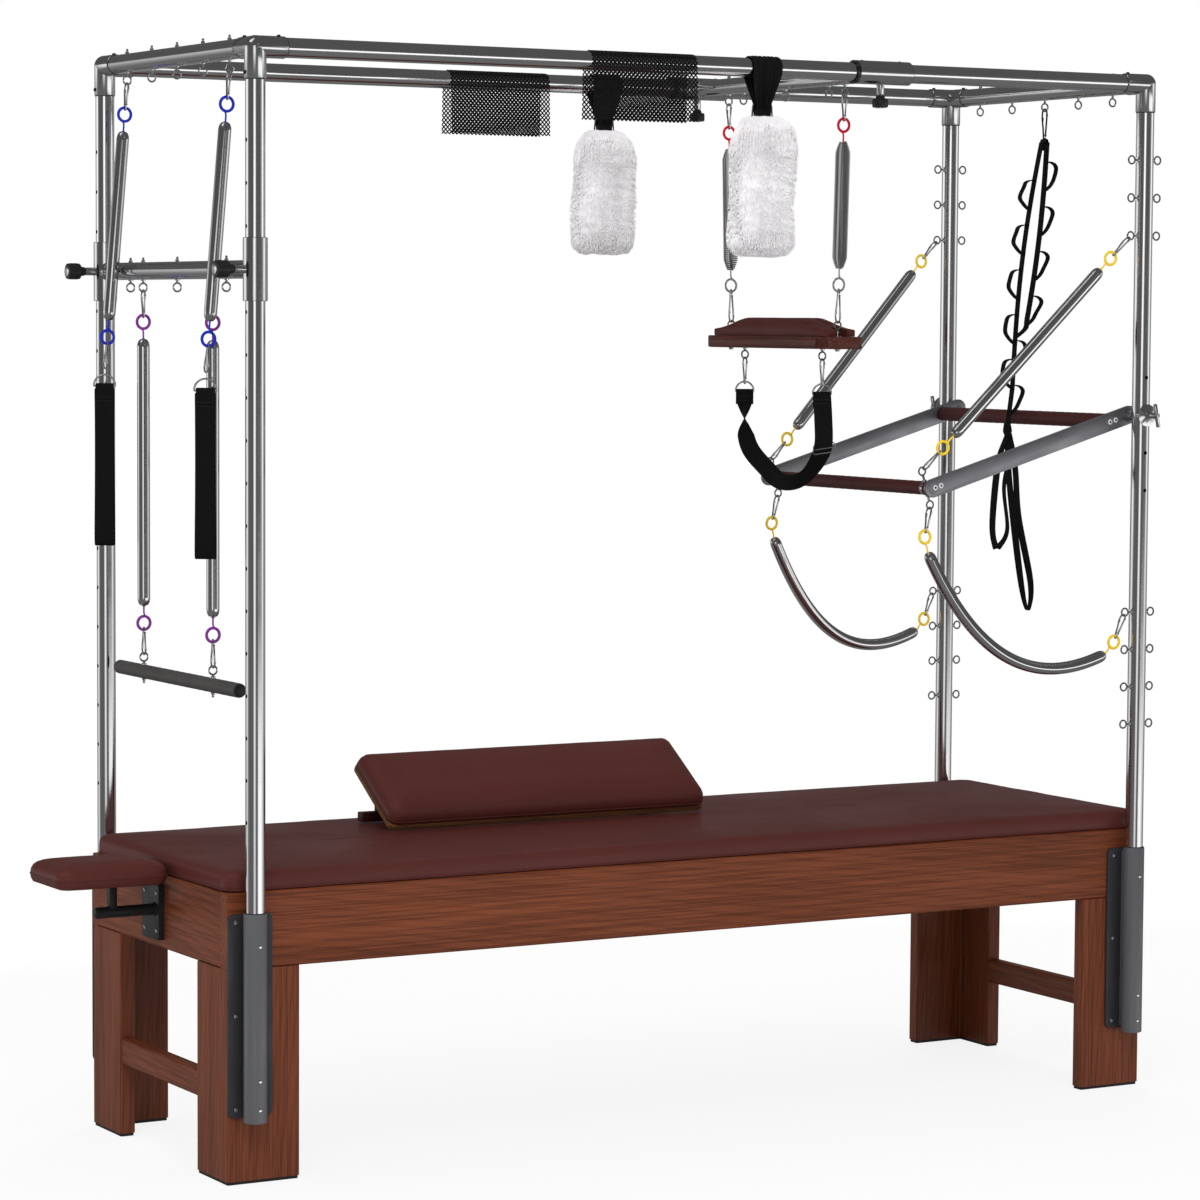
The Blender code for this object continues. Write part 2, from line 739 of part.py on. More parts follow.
def post(name, sx, sy):
    foot = (sx * POST_X, sy * POST_Y, POST_FOOT)
    head = (sx * POST_X, sy * POST_Y, POST_HEAD)
    made = Piece(name, pipe(bmesh.new(), foot, head, TUBE_RADIUS, TUBE_RADIUS - TUBE_WALL), STEEL, foot)
    holes = bmesh.new()
    if sx < 0:
        for step in range(-HOLES_BELOW, HOLES_ABOVE + 1):
            place = (foot[0] - TUBE_RADIUS - 0.001, foot[1], LOW_BAR_HEIGHT + HOLE_PITCH * step)
            depth = TUBE_WALL + 0.0022
            lathe(holes, place, X, [(HOLE_RADIUS, 0), (HOLE_RADIUS, depth)], 5)
    else:
        for step in (1, -1, -2):
            place = (foot[0], sy * (POST_Y + TUBE_RADIUS + 0.001), PIVOT_HEIGHT + HOLE_PITCH * step)
            depth = TUBE_WALL + 0.0022
            lathe(holes, place, Y * -sy, [(HOLE_RADIUS, 0), (HOLE_RADIUS, depth)], 5)
        eyes = bmesh.new()
        for height in post_eye_heights():
            for way in (-1, 1):
                centre = Vector((foot[0] + way * SIDE_EYE, foot[1], height))
                eye(eyes, centre, X * -way, Y, EYE_REACH + TUBE_WALL / 2)
        made.add(eyes)
    made.cut(holes)


for end_name, sx in (("left", -1), ("right", 1)):
    for side_name, sy in (("near", -1), ("far", 1)):
        post("post_%s_%s" % (end_name, side_name), sx, sy)


# End frames: an overhead cross tube with a three-way fitting at each end
END_EYE_Z = FRAME_TOP - TUBE_RADIUS - EYE_REACH
CROSS_ARM_RADIUS = FITTING_RADIUS - 0.0002


def end_frame(name, sx):
    x = sx * POST_X
    bar = lathe(bmesh.new(), (x, -POST_Y, FRAME_TOP), Y, [(TUBE_RADIUS, 0), (TUBE_RADIUS, 2 * POST_Y)])
    made = Piece(name, bar, STEEL, (x, 0, FRAME_TOP))
    extra = bmesh.new()
    for sy in (-1, 1):
        corner = Vector((x, sy * POST_Y, FRAME_TOP))
        elbow(extra, [corner - Z * FITTING_ARM, corner, corner - X * (sx * FITTING_ARM)])
        lathe(extra, corner, Y * -sy, [(CROSS_ARM_RADIUS, 0), (CROSS_ARM_RADIUS, FITTING_ARM)])
        for way, place in ((Z, corner - X * (sx * (FITTING_ARM - 0.012)) + Z * FITTING_RADIUS),
                           (Z, corner - Y * (sy * (FITTING_ARM - 0.012)) + Z * FITTING_RADIUS),
                           (X * sx, corner - Z * (FITTING_ARM - 0.012) + X * (sx * FITTING_RADIUS))):
            stud(extra, place, way, 0.004, 0.0035)
    for step in (-2, -1, 0, 1, 2):
        y = step * END_EYE_PITCH
        eye(extra, Vector((x, y, END_EYE_Z)), Z, Y, EYE_REACH + 0.002)
        stud(extra, Vector((x, y, FRAME_TOP + TUBE_RADIUS)), Z)
    made.add(extra)


def elbow(mesh, path):
    """Mitred bend of the fitting, sharp at its outer corner."""
    rings = []
    for point, (along, wide) in zip(path, directions(path, False)):
        side = along.cross(Y)
        ring = []
        for i in range(TUBE_SIDES):
            angle = 2 * pi * i / TUBE_SIDES
            out = side * (FITTING_RADIUS * wide * cos(angle)) + Y * (FITTING_RADIUS * sin(angle))
            ring.append(point + out)
        rings.append(ring)
    return skin(mesh, rings)


for end_name, sx in (("left", -1), ("right", 1)):
    end_frame("end_frame_" + end_name, sx)

for side_name, sy in (("near", -1), ("far", 1)):
    reach = POST_X - FITTING_ARM - GAP
    ends = (Vector((-reach, sy * POST_Y, FRAME_TOP)), Vector((reach, sy * POST_Y, FRAME_TOP)))
    Piece("tube_long_" + side_name, pipe(bmesh.new(), *ends, TUBE_RADIUS, TUBE_RADIUS - TUBE_WALL),
          STEEL, (0, sy * POST_Y, FRAME_TOP))


# Crossbars that slide on the posts and on the long tubes, each held by two plunger knobs
def crossbar(name, x, z, slide, sleeve_radius, sleeve_length, knob_way, eye_rows, collared):
    bar = lathe(bmesh.new(), (x, -POST_Y, z), Y, [(BAR_RADIUS, 0), (BAR_RADIUS, 2 * POST_Y)])
    made = Piece(name, bar, STEEL, (x, 0, z))
    extra = bmesh.new()
    cuts = bmesh.new()
    half = sleeve_length / 2
    for sy in (-1, 1):
        centre = Vector((x, sy * POST_Y, z))
        lathe(extra, centre, slide, [(sleeve_radius, -half), (sleeve_radius, half)])
        if collared:
            reach = POST_Y - sleeve_radius
            collar = [(COLLAR_RADIUS, reach - COLLAR_LENGTH * 0.7), (COLLAR_RADIUS, reach + 0.006)]
            lathe(extra, centre - Y * (sy * POST_Y), Y * sy, collar)
        boss = [(BOSS_RADIUS, sleeve_radius - 0.002), (BOSS_RADIUS, sleeve_radius + BOSS_LENGTH)]
        lathe(extra, centre, knob_way, boss, ROUND_SIDES)
        bore = TUBE_RADIUS + SLIDE_CLEARANCE
        lathe(cuts, centre, slide, [(bore, -half - 0.01), (bore, half + 0.01)])
    for y in eye_rows:
        eye(extra, Vector((x, y, z - BAR_RADIUS - EYE_REACH)), Z, Y, EYE_REACH + 0.002)
        stud(extra, Vector((x, y, z + BAR_RADIUS)), Z)
    made.add(extra).cut(cuts)
    return made


def plunger(name, centre, way, sleeve_radius, length):
    start = sleeve_radius + BOSS_LENGTH + 2 * GAP
    shape = [(0.0085, start), (0.0095, start + 0.20 * length), (KNOB_RADIUS, start + 0.34 * length)]
    shape += [(KNOB_RADIUS, start + 0.94 * length), (0.0110, start + length)]
    made = Piece(name, lathe(bmesh.new(), centre, way, shape, ROUND_SIDES), BLACK, centre)
    return made


low_rows = (-LOW_EYE_OUTER, -LOW_EYE_INNER, 0.0, LOW_EYE_INNER, LOW_EYE_OUTER)
crossbar("lower_crossbar", -POST_X, LOW_BAR_HEIGHT, Z, LOW_SLEEVE_RADIUS, LOW_SLEEVE_LENGTH, -X,
         low_rows, True)
top_rows = (-TOP_EYE_OUTER, -TOP_EYE_INNER, 0.0, TOP_EYE_INNER, TOP_EYE_OUTER)
crossbar("top_crossbar", TOP_BAR_X, FRAME_TOP, X, TOP_SLEEVE_RADIUS, TOP_SLEEVE_LENGTH, -Z,
         top_rows, False)
for side_name, sy in (("near", -1), ("far", 1)):
    plunger("plunger_low_" + side_name, Vector((-POST_X, sy * POST_Y, LOW_BAR_HEIGHT)), -X,
            LOW_SLEEVE_RADIUS, LOW_KNOB_LENGTH)
    plunger("plunger_top_" + side_name, Vector((TOP_BAR_X, sy * POST_Y, FRAME_TOP)), -Z,
            TOP_SLEEVE_RADIUS, TOP_KNOB_LENGTH)


# Push bar: drawn along -X from its pivot and dropped by its rest angle
PUSH = axis_empty("push_bar_axis", (POST_X, 0, PIVOT_HEIGHT), FRAME, (0.0, -radians(PUSH_DROP), 0.0))
ARM_INNER = ARM_SPACING - ARM_THICK / 2
ARM_OUTER = ARM_SPACING + ARM_THICK / 2
ORIGIN = Vector((0, 0, 0))


def slot_outline(length, radius, steps=5):
    points = []
    for centre, sign in ((0.0, 1), (-length, -1)):
        for step in range(steps + 1):
            angle = -pi / 2 + pi * step / steps
            points.append(Vector((centre + sign * radius * cos(angle), 0, sign * radius * sin(angle))))
    return points


for side_name, sy in (("near", -1), ("far", 1)):
    outline = slot_outline(PUSH_LENGTH, ARM_HALF_HEIGHT)
    plate = prism(bmesh.new(), outline, Y, sy * ARM_INNER, sy * ARM_OUTER)
    made = Piece("push_arm_" + side_name, plate, ARM_GREY, (0, 0, 0), PUSH)
    extra = bmesh.new()
    boss_end = POST_Y - TUBE_RADIUS - GAP
    boss = [(PIVOT_BOSS_RADIUS, ARM_OUTER - 0.001), (PIVOT_BOSS_RADIUS, boss_end)]
    lathe(extra, ORIGIN, Y * sy, boss, ROUND_SIDES)
    for spot in (PUSH_LENGTH - 0.006, PUSH_LENGTH - 0.021, REAR_ROLL_BACK + 0.007, REAR_ROLL_BACK - 0.008):
        stud(extra, Vector((-spot, sy * ARM_OUTER, 0)), Y * sy, 0.004, 0.0015)
    made.add(extra)

roll_half = ARM_INNER - GAP


def roll_profile(radius):
    return [(radius, -roll_half), (radius, roll_half)]


front = Vector((-PUSH_LENGTH, 0, 0))
made = Piece("push_roll_front", lathe(bmesh.new(), front, Y, roll_profile(FRONT_ROLL_RADIUS)), ROLL_BROWN,
             front, PUSH)
extra = bmesh.new()
for sy in (-1, 1):
    for way in (-1, 1):
        centre = front + Y * (sy * ROLL_EYE_Y) + Z * (way * (FRONT_ROLL_RADIUS + ROLL_EYE_REACH))
        eye(extra, centre, Z * -way, Y, ROLL_EYE_REACH + 0.003)
made.add(extra)
rear = Vector((-REAR_ROLL_BACK, 0, 0))
Piece("push_roll_rear", lathe(bmesh.new(), rear, Y, roll_profile(REAR_ROLL_RADIUS)), ROLL_BROWN, rear, PUSH)

for side_name, sy in (("near", -1), ("far", 1)):
    place = Vector((POST_X, sy * POST_Y, PIVOT_HEIGHT))
    start = TUBE_RADIUS + GAP
    shape = [(0.010, start), (0.010, start + 0.004), (HANDLE_STEM, start + 0.009)]
    shape += [(HANDLE_STEM, start + HANDLE_REACH)]
    stem_mesh = lathe(bmesh.new(), place, Y * sy, shape, ROUND_SIDES)
    made = Piece("tee_handle_" + side_name, stem_mesh, BLACK, place)
    bar = (Z * 0.98 - X * 0.2).normalized()
    centre = place + Y * (sy * (start + HANDLE_REACH - 0.004))
    cross = [(HANDLE_WIRE, -HANDLE_HALF), (HANDLE_WIRE, HANDLE_HALF)]
    made.add(lathe(bmesh.new(), centre, bar, cross, 8))


# Springs
def push_point(x, y, z):
    """A point of the push bar's own frame, in the table's frame at rest."""
    drop = radians(PUSH_DROP)
    return Vector((POST_X + x * cos(drop) - z * sin(drop), y, PIVOT_HEIGHT + x * sin(drop) + z * cos(drop)))


ROLL_EYE_OUT = FRONT_ROLL_RADIUS + ROLL_EYE_REACH
LOW_EYE_Z = LOW_BAR_HEIGHT - BAR_RADIUS - EYE_REACH
TOP_EYE_Z = FRAME_TOP - BAR_RADIUS - EYE_REACH
ROLLDOWN_EYE_Z = LOW_EYE_Z - PURPLE_DROP
TRAPEZE_EYE_Z = TRAPEZE_BOARD_TOP + EYE_REACH
lean_share = BLUE_DROP / (END_EYE_Z - LOW_BAR_HEIGHT)
BLUE_LEAN = (BAR_RADIUS + SPRING_RADIUS + LEAN_CLEARANCE) * lean_share
HAND_EYE_X = -POST_X - BLUE_LEAN
HAND_EYE_Z = END_EYE_Z - BLUE_DROP
third_eye = POST_EYE_TOP - HOLE_PITCH * (POST_EYES_HIGH - 1)

for side_name, sy in (("near", -1), ("far", 1)):
    top = Vector((-POST_X, sy * 2 * END_EYE_PITCH, END_EYE_Z))
    bottom = Vector((HAND_EYE_X, sy * 2 * END_EYE_PITCH, HAND_EYE_Z))
    straight_spring("spring_blue_" + side_name, top, bottom, SPRING_RADIUS, top)

    top = Vector((-POST_X, sy * LOW_EYE_INNER, LOW_EYE_Z))
    bottom = Vector((-POST_X, sy * LOW_EYE_INNER, ROLLDOWN_EYE_Z))
    straight_spring("spring_purple_" + side_name, top, bottom, SPRING_RADIUS, top)

    top = Vector((TOP_BAR_X, sy * TOP_EYE_OUTER, TOP_EYE_Z))
    bottom = Vector((TOP_BAR_X, sy * TRAPEZE_EYE_Y, TRAPEZE_EYE_Z))
    straight_spring("spring_red_" + side_name, top, bottom, RED_SPRING_RADIUS, top, None,
                    RED_CURLS, RED_HOOK_SPAN)

    top = Vector((POST_X - SIDE_EYE, sy * POST_Y, third_eye))
    bottom = push_point(-PUSH_LENGTH, sy * ROLL_EYE_Y, ROLL_EYE_OUT)
    straight_spring("spring_yellow_high_" + side_name, top, bottom, SPRING_RADIUS, top)

    first = push_point(-PUSH_LENGTH, sy * ROLL_EYE_Y, -ROLL_EYE_OUT)
    last = Vector((POST_X - SIDE_EYE, sy * POST_Y, POST_EYE_LOW_TOP))
    ring_a = first + Vector((-0.014, sy * 0.003, -0.0665))
    ring_b = last + Vector((-0.026, -sy * 0.003, -0.0630))
    start = ring_a + Vector((0.007, sy * 0.002, -0.0333))
    end = ring_b + Vector((-0.022, -sy * 0.002, -0.0255))
    bend_a = start + Vector((0.100, sy * 0.015, -0.205))
    bend_b = end + Vector((-0.190, -sy * 0.015, -0.078))
    path = [bezier(start, bend_a, bend_b, end, t) for t in (0, 0.035, 0.2, 0.36, 0.5, 0.64, 0.8, 0.965, 1)]
    spring_piece("spring_yellow_low_" + side_name, (first, last), (ring_a, ring_b), path,
                 SPRING_RADIUS, last)


# Roll-down bar below the purple springs
bar_z = ROLLDOWN_EYE_Z - EYE_REACH - ROLLDOWN_RADIUS
half = ROLLDOWN_LENGTH / 2
middle = Vector((-POST_X, 0, bar_z))
shape = [(0.011, -half), (ROLLDOWN_RADIUS, -half + 0.004), (ROLLDOWN_RADIUS, half - 0.004), (0.011, half)]
made = Piece("rolldown_bar", lathe(bmesh.new(), middle, Y, shape), GRIP, middle)
extra = bmesh.new()
for sy in (-1, 1):
    eye(extra, Vector((-POST_X, sy * LOW_EYE_INNER, ROLLDOWN_EYE_Z)), -Z, Y, EYE_REACH + 0.002)
    stud(extra, Vector((-POST_X, sy * LOW_EYE_INNER, bar_z - ROLLDOWN_RADIUS)), -Z)
made.add(extra)


# Trapeze board with its pad fused on, and the strap slung below it
half_w = TRAPEZE_BOARD_WIDTH / 2
half_l = TRAPEZE_BOARD_LENGTH / 2
board_base = TRAPEZE_BOARD_TOP - TRAPEZE_BOARD_THICK
outline = rounded(rectangle(X, Y, TOP_BAR_X - half_w, TOP_BAR_X + half_w, -half_l, half_l), 0.035, 3)
board = prism(bmesh.new(), outline, Z, board_base, TRAPEZE_BOARD_TOP)
made = Piece("trapeze_board", board, WALNUT, (TOP_BAR_X, 0, TRAPEZE_BOARD_TOP))
pad_w = TRAPEZE_PAD_WIDTH / 2
pad_l = TRAPEZE_PAD_LENGTH / 2
pad_levels = [(0.0, 0.0, -0.001), (0.0, 0.0, 0.013), (0.004, 0.006, 0.018)]
pad_levels += [(0.012, 0.055, TRAPEZE_PAD_THICK - 0.002), (0.025, 0.075, TRAPEZE_PAD_THICK)]
made.add(cushion(bmesh.new(), X, Y, Z, (TOP_BAR_X - pad_w, TOP_BAR_X + pad_w, -pad_l, pad_l), 0.014,
                 [(a, b, TRAPEZE_BOARD_TOP + c) for a, b, c in pad_levels]))
pockets = bmesh.new()
eyes = bmesh.new()
for sy in (-1, 1):
    spot = Vector((TOP_BAR_X, sy * TRAPEZE_EYE_Y, TRAPEZE_BOARD_TOP))
    lathe(pockets, spot, Z, [(0.016, 0.0005), (0.016, 0.05)], 8)
    eye(eyes, spot + Z * EYE_REACH, -Z, Y, EYE_REACH + 0.003)
    stud(eyes, spot - Z * TRAPEZE_BOARD_THICK, -Z, 0.0035, 0.005)
    low = Vector((TOP_BAR_X, sy * STRAP_EYE_Y, board_base))
    eye(eyes, low - Z * EYE_REACH, Z, Y, EYE_REACH + 0.003)
made.cut(pockets).add(eyes)


def trapeze_strap():
    top_z = board_base - EYE_REACH
    dee_z = top_z - HOOK_SPAN - 0.011
    pivot = (TOP_BAR_X, 0, top_z)
    # From the far D-ring across the belly to the near one: share of the reach, share of the drop, turn
    far_y = STRAP_EYE_Y
    stations = ((1.0, 0.0, 0), (1.0, 0.15, 20), (0.99, 0.353, 86), (0.935, 0.556, 90), (0.78, 0.706, 90),
                (0.39, 0.877, 90), (0.065, 1.0, 90), (-0.327, 1.0, 90), (-0.68, 0.898, 90),
                (-0.922, 0.738, 60), (-1.052, 0.556, 8), (-1.039, 0.267, 0), (-1.0, 0.0, 0))
    points = []
    for out_share, low_share, turned in stations:
        points.append(Vector((TOP_BAR_X, far_y * out_share, dee_z - STRAP_DROP * low_share)))
    across = []
    for (out_share, low_share, turned), (along, widening) in zip(stations, directions(points, False)):
        out = along.cross(X)
        across.append(X * cos(radians(turned)) + out * sin(radians(turned)))
    mesh = band(bmesh.new(), points, across, [STRAP_WIDTH] * len(points), STRAP_THICK)
    made = Piece("trapeze_strap", mesh, WEBBING, pivot)
    extra = bmesh.new()
    for sy in (-1, 1):
        bar = Vector((TOP_BAR_X, sy * far_y, dee_z))
        dee(extra, bar, X, Z, 0.0195)
        arc_top = bar + Z * 0.0195
        hook_top = Vector((TOP_BAR_X, sy * far_y, top_z - HOOK_SEAT))
        hook(extra, hook_top, arc_top - Z * (HOOK_WIRE + DEE_WIRE - 0.0013))
    buckle = Vector((TOP_BAR_X, -far_y * 1.069, dee_z - STRAP_DROP * 0.631))
    box(extra, buckle.x - BUCKLE_HALF[0], buckle.x + BUCKLE_HALF[0], buckle.y - BUCKLE_HALF[1],
        buckle.y + BUCKLE_HALF[1], buckle.z - BUCKLE_HALF[2], buckle.z + BUCKLE_HALF[2])
    made.add(extra)


trapeze_strap()


# Hand loops below the blue springs
def hand_loop(name, sy):
    face = Vector((cos(radians(30)), -sin(radians(30)), 0))
    normal = Z.cross(face)
    drop = Vector((HAND_EYE_X, sy * 2 * END_EYE_PITCH, HAND_EYE_Z))
    lean = (drop - Vector((-POST_X, drop.y, END_EYE_Z))).normalized()
    seat = drop - lean * (HOOK_SEAT + HOOK_WIRE + DEE_WIRE - GAP)
    bar = seat - Z * DEE_RADIUS
    top = bar.z
    low = top - HAND_STRAP_LENGTH
    stations = ((0.0026, top + 0.002), (0.0034, top - 0.012), (0.0045, top - 0.060))
    gap = HAND_LOOP_GAP / 2
    stations += ((gap * 0.8, top - 0.180), (gap, low + 0.045), (gap * 0.75, low + 0.008))
    points = [bar + normal * out + Z * (z - top) for out, z in stations]
    points += [bar - normal * out + Z * (z - top) for out, z in reversed(stations)]
    count = len(points)
    mesh = band(bmesh.new(), points, [face] * count, [HAND_STRAP_WIDTH] * count, STRAP_THICK, loop=True)
    made = Piece(name, mesh, WEBBING, drop)
    made.add(dee(bmesh.new(), bar, face, Z))


for side_name, sy in (("near", -1), ("far", 1)):
    hand_loop("hand_loop_" + side_name, sy)


# Fleece slings and mesh covers on the long tubes
def wrap_path(y, low, flare):
    """Path from a low end up over a tube and down the other side."""
    steps = 6
    radius = (TUBE_RADIUS + 2 * GAP + STRAP_THICK / 2) / cos(pi / (2 * steps))
    flare = radius + flare if flare > 0 else -flare
    points = [Vector((0, y - flare, low)), Vector((0, y - radius, FRAME_TOP - 0.004))]
    for step in range(1, steps):
        angle = pi * step / steps
        points.append(Vector((0, y - radius * cos(angle), FRAME_TOP + radius * sin(angle))))
    points += [Vector((0, y + radius, FRAME_TOP - 0.004)), Vector((0, y + flare, low))]
    return points


def sling(name, x, sy):
    y = sy * POST_Y
    depth = SLING_DEPTH / 2
    width = SLING_WIDTH / 2
    levels = ((0.034, 0.026, 0.002), (0.022, 0.017, -0.010), (0.008, 0.007, -0.040), (0.001, 0.001, -0.085),
              (0.000, 0.000, -0.215), (0.004, 0.004, -0.258), (0.024, 0.022, -SLING_LENGTH))
    size = (x - width, x + width, y - depth, y + depth)
    body = cushion(bmesh.new(), X, Y, Z, size, 0.030, [(a, b, SLING_TOP + c) for a, b, c in levels], 2)
    made = Piece(name, body, FLEECE, (x, y, FRAME_TOP))
    path = wrap_path(y, SLING_TOP + 0.034, -0.007)
    tail = [Vector((0, y - 0.006, SLING_TOP - 0.012))]
    path = tail + path + [Vector((0, y + 0.006, SLING_TOP - 0.012))]
    widths = []
    for point in path:
        share = min(max((point.z - SLING_TOP - 0.030) / (FRAME_TOP - SLING_TOP - 0.030), 0.0), 1.0)
        widths.append(0.040 + 0.052 * share)
    path = [point + X * x for point in path]
    made.add(band(bmesh.new(), path, [X] * len(path), widths, STRAP_THICK))


def cover(name, x, sy):
    y = sy * POST_Y
    path = wrap_path(y, FRAME_TOP - COVER_DROP, 0.002)
    path = [point + X * x for point in path]
    mesh = band(bmesh.new(), path, [X] * len(path), [COVER_LENGTH] * len(path), STRAP_THICK)
    Piece(name, mesh, MESH_CLOTH, (x, y, FRAME_TOP))


sling("fleece_sling_near", SLING_X_NEAR, -1)
sling("fleece_sling_far", SLING_X_FAR, 1)
cover("mesh_cover_near", COVER_X_NEAR, -1)
cover("mesh_cover_far", COVER_X_FAR, 1)


# Ladder strap: two webbing strands with sewn side loops, hung from the right end frame
def strand_x(z, leaning):
    """Sideways place of a strand at a height; leaning is -1 for the left strand, 1 for the right."""
    head = END_EYE_Z - 0.076
    foot = END_EYE_Z - LADDER_KNOT_DROP + 0.006
    share = (head - z) / (head - foot)
    middle = POST_X - (LADDER_LEAN - 0.001) * share
    spread = 0.017 * sin(pi * min(1.0, 0.10 + share * 1.05)) + 0.002
    return middle + leaning * spread


def merged_x(z, leaning):
    """Where a side loop is sewn: its own strand above, the shared strand below."""
    return strand_x(z, leaning if z > END_EYE_Z - LADDER_JOIN_DROP else -1)


def ladder_strap():
    top = Vector((POST_X, 0, END_EYE_Z))
    knot = Vector((POST_X - LADDER_LEAN, 0, END_EYE_Z - LADDER_KNOT_DROP))
    mesh = hook(bmesh.new(), top - Z * HOOK_SEAT, top - Z * (0.070 + HOOK_SEAT))
    made = Piece("ladder_strap", mesh, WEBBING, top)
    extra = bmesh.new()
    head = top.z - 0.070 - HOOK_SEAT + 0.003
    join = END_EYE_Z - LADDER_JOIN_DROP
    for leaning, last, start_x in ((-1, knot.z, -0.002), (1, join + LADDER_MERGE, 0.002)):
        heights = [head - (head - last) * i / 5 for i in range(6)]
        path = [Vector((strand_x(z, leaning), 0, z)) for z in heights]
        path[0] = Vector((POST_X + start_x, 0, head + 0.001))
        if leaning < 0:
            path[-1] = knot
        else:
            path.append(Vector((strand_x(join, -1), 0, join)))
        count = len(path)
        band(extra, path, [-Y] * count, [LADDER_WIDTH + 0.001 * leaning] * count, LADDER_THICK)
    for leaning, count, first in ((1, LADDER_LOOPS_RIGHT, 0.119), (-1, LADDER_LOOPS_LEFT, 0.160)):
        for i in range(count):
            z = END_EYE_Z - first - LADDER_PITCH * i
            low = z - LADDER_LOOP_DROP
            root = Vector((merged_x(z, leaning), 0, z))
            back = Vector((merged_x(low, leaning), 0, low))
            out = X * (leaning * LADDER_LOOP_REACH)
            path = [root, root + out * 1.05 - Z * 0.004, back + out * 0.80 + Z * 0.022, back]
            band(extra, path, [-Y] * 4, [LADDER_WIDTH * 0.85] * 4, LADDER_THICK * 0.8)
    lathe(extra, knot + Z * 0.016, -Z, [(0.007, 0), (0.0125, 0.007), (0.0125, 0.020), (0.008, 0.030)], 6)
    for side, low, out in ((-1, 0.254, 0.017), (1, 0.390, 0.011)):
        foot = knot + X * (side * 0.022 + (0.040 if side > 0 else 0.0)) - Z * low
        near = [knot - Z * 0.008, knot.lerp(foot, 0.35) - X * out, knot.lerp(foot, 0.78) - X * out]
        path = near + [foot - X * 0.004, foot + X * 0.004]
        path += [knot.lerp(foot, 0.78) + X * out, knot.lerp(foot, 0.35) + X * (out * 0.8)]
        path.append(knot - Z * 0.008 + X * 0.003)
        band(extra, path, [-Y] * 8, [LADDER_WIDTH * 0.8] * 8, LADDER_THICK * 0.8, loop=True)
    made.add(extra)


ladder_strap()


# Headrest on a peg at the left end
levels = [(0.010, 0.010, 0.0), (0.002, 0.002, 0.010), (0.0, 0.0, 0.020), (0.003, 0.003, 0.034)]
levels += [(0.014, 0.014, 0.044), (0.040, 0.040, HEADREST_THICK)]
size = (-HEADREST_END, -HEADREST_END + HEADREST_LENGTH, -HEADREST_WIDTH / 2, HEADREST_WIDTH / 2)
levels = [(a, b, HEADREST_BASE + c) for a, b, c in levels]
Piece("headrest_pad", cushion(bmesh.new(), X, Y, Z, size, 0.030, levels, 3), LEATHER,
      (-HEADREST_END + HEADREST_LENGTH / 2, 0, HEADREST_BASE))

face = -TABLE_X - GAP
outline = rounded(rectangle(Y, Z, 0.007 - BRACKET_WIDTH / 2, 0.007 + BRACKET_WIDTH / 2, BRACKET_BASE,
                            BRACKET_BASE + BRACKET_HEIGHT), 0.006, 2)
made = Piece("headrest_bracket", prism(bmesh.new(), outline, X, face - BRACKET_THICK, face), BLACK,
             (face, 0, BRACKET_BASE))
extra = bmesh.new()
peg_y = -0.012
peg_start = Vector((face - BRACKET_THICK / 2, peg_y, PEG_HEIGHT))
peg_end = PEG_LENGTH + BRACKET_THICK / 2
lathe(extra, peg_start, -X, [(PEG_RADIUS, 0), (PEG_RADIUS, peg_end - 0.003), (PEG_RADIUS - 0.003, peg_end)],
      ROUND_SIDES)
arm_x = face - BRACKET_THICK - PEG_LENGTH
box(extra, arm_x + 0.012, arm_x + 0.052, peg_y - 0.016, peg_y + 0.016,
    PEG_HEIGHT + 0.002, HEADREST_BASE - GAP)
for y, z in ((-0.022, 0.018), (0.036, 0.018), (0.036, 0.092)):
    stud(extra, Vector((face - BRACKET_THICK, y, BRACKET_BASE + z)), -X, 0.0045, 0.002)
made.add(extra)


# Tilted cushion on the mattress: board, leather pad and a folding prop
TILT = axis_empty("cushion_edge", (CUSHION_CENTRE_X, CUSHION_FRONT_Y, MATTRESS_TOP + 0.0008), FRAME,
                  (radians(CUSHION_TILT), 0.0, 0.0))
half = CUSHION_LENGTH / 2
board = rounded(rectangle(X, Y, -half, half, 0, CUSHION_DEPTH), 0.012, 2)
Piece("cushion_board", prism(bmesh.new(), board, Z, 0.0, CUSHION_BOARD), BOARD_EDGE, (0, 0, 0), TILT)
rise = CUSHION_BOARD + GAP
levels = [(0.004, 0.004, 0.0), (0.0, 0.0, 0.008), (0.001, 0.001, 0.022), (0.006, 0.006, 0.033)]
levels += [(0.020, 0.020, CUSHION_THICK), (0.055, 0.055, CUSHION_THICK + 0.004)]
size = (-half, half, 0, CUSHION_DEPTH)
levels = [(a, b, rise + c) for a, b, c in levels]
Piece("cushion_pad", cushion(bmesh.new(), X, Y, Z, size, 0.020, levels, 3), LEATHER, (0, 0, rise), TILT)

tilt = radians(CUSHION_TILT)
rod = 0.007
hinge_y = CUSHION_FRONT_Y + PROP_HINGE_BACK * cos(tilt) + (rod + 0.0008) * sin(tilt)
hinge_z = MATTRESS_TOP + 0.0008 + PROP_HINGE_BACK * sin(tilt) - (rod + 0.0008) * cos(tilt)
hinge = Vector((CUSHION_CENTRE_X, hinge_y, hinge_z))
foot_z = MATTRESS_TOP + 0.0010
rail = lathe(bmesh.new(), hinge - X * half, X, [(rod, 0), (rod, 2 * half)], ROUND_SIDES)
made = Piece("cushion_prop", rail, WALNUT, hinge)
extra = bmesh.new()
box(extra, hinge.x - half + 0.002, hinge.x + half - 0.002, hinge_y - 0.019, hinge_y + 0.006,
    foot_z, foot_z + 0.020)
for way in (-1, 1):
    leg_x = hinge.x + way * (half - 0.040)
    box(extra, leg_x - 0.015, leg_x + 0.015, hinge_y - 0.0065, hinge_y + 0.0045, foot_z + 0.010, hinge_z)
made.add(extra)
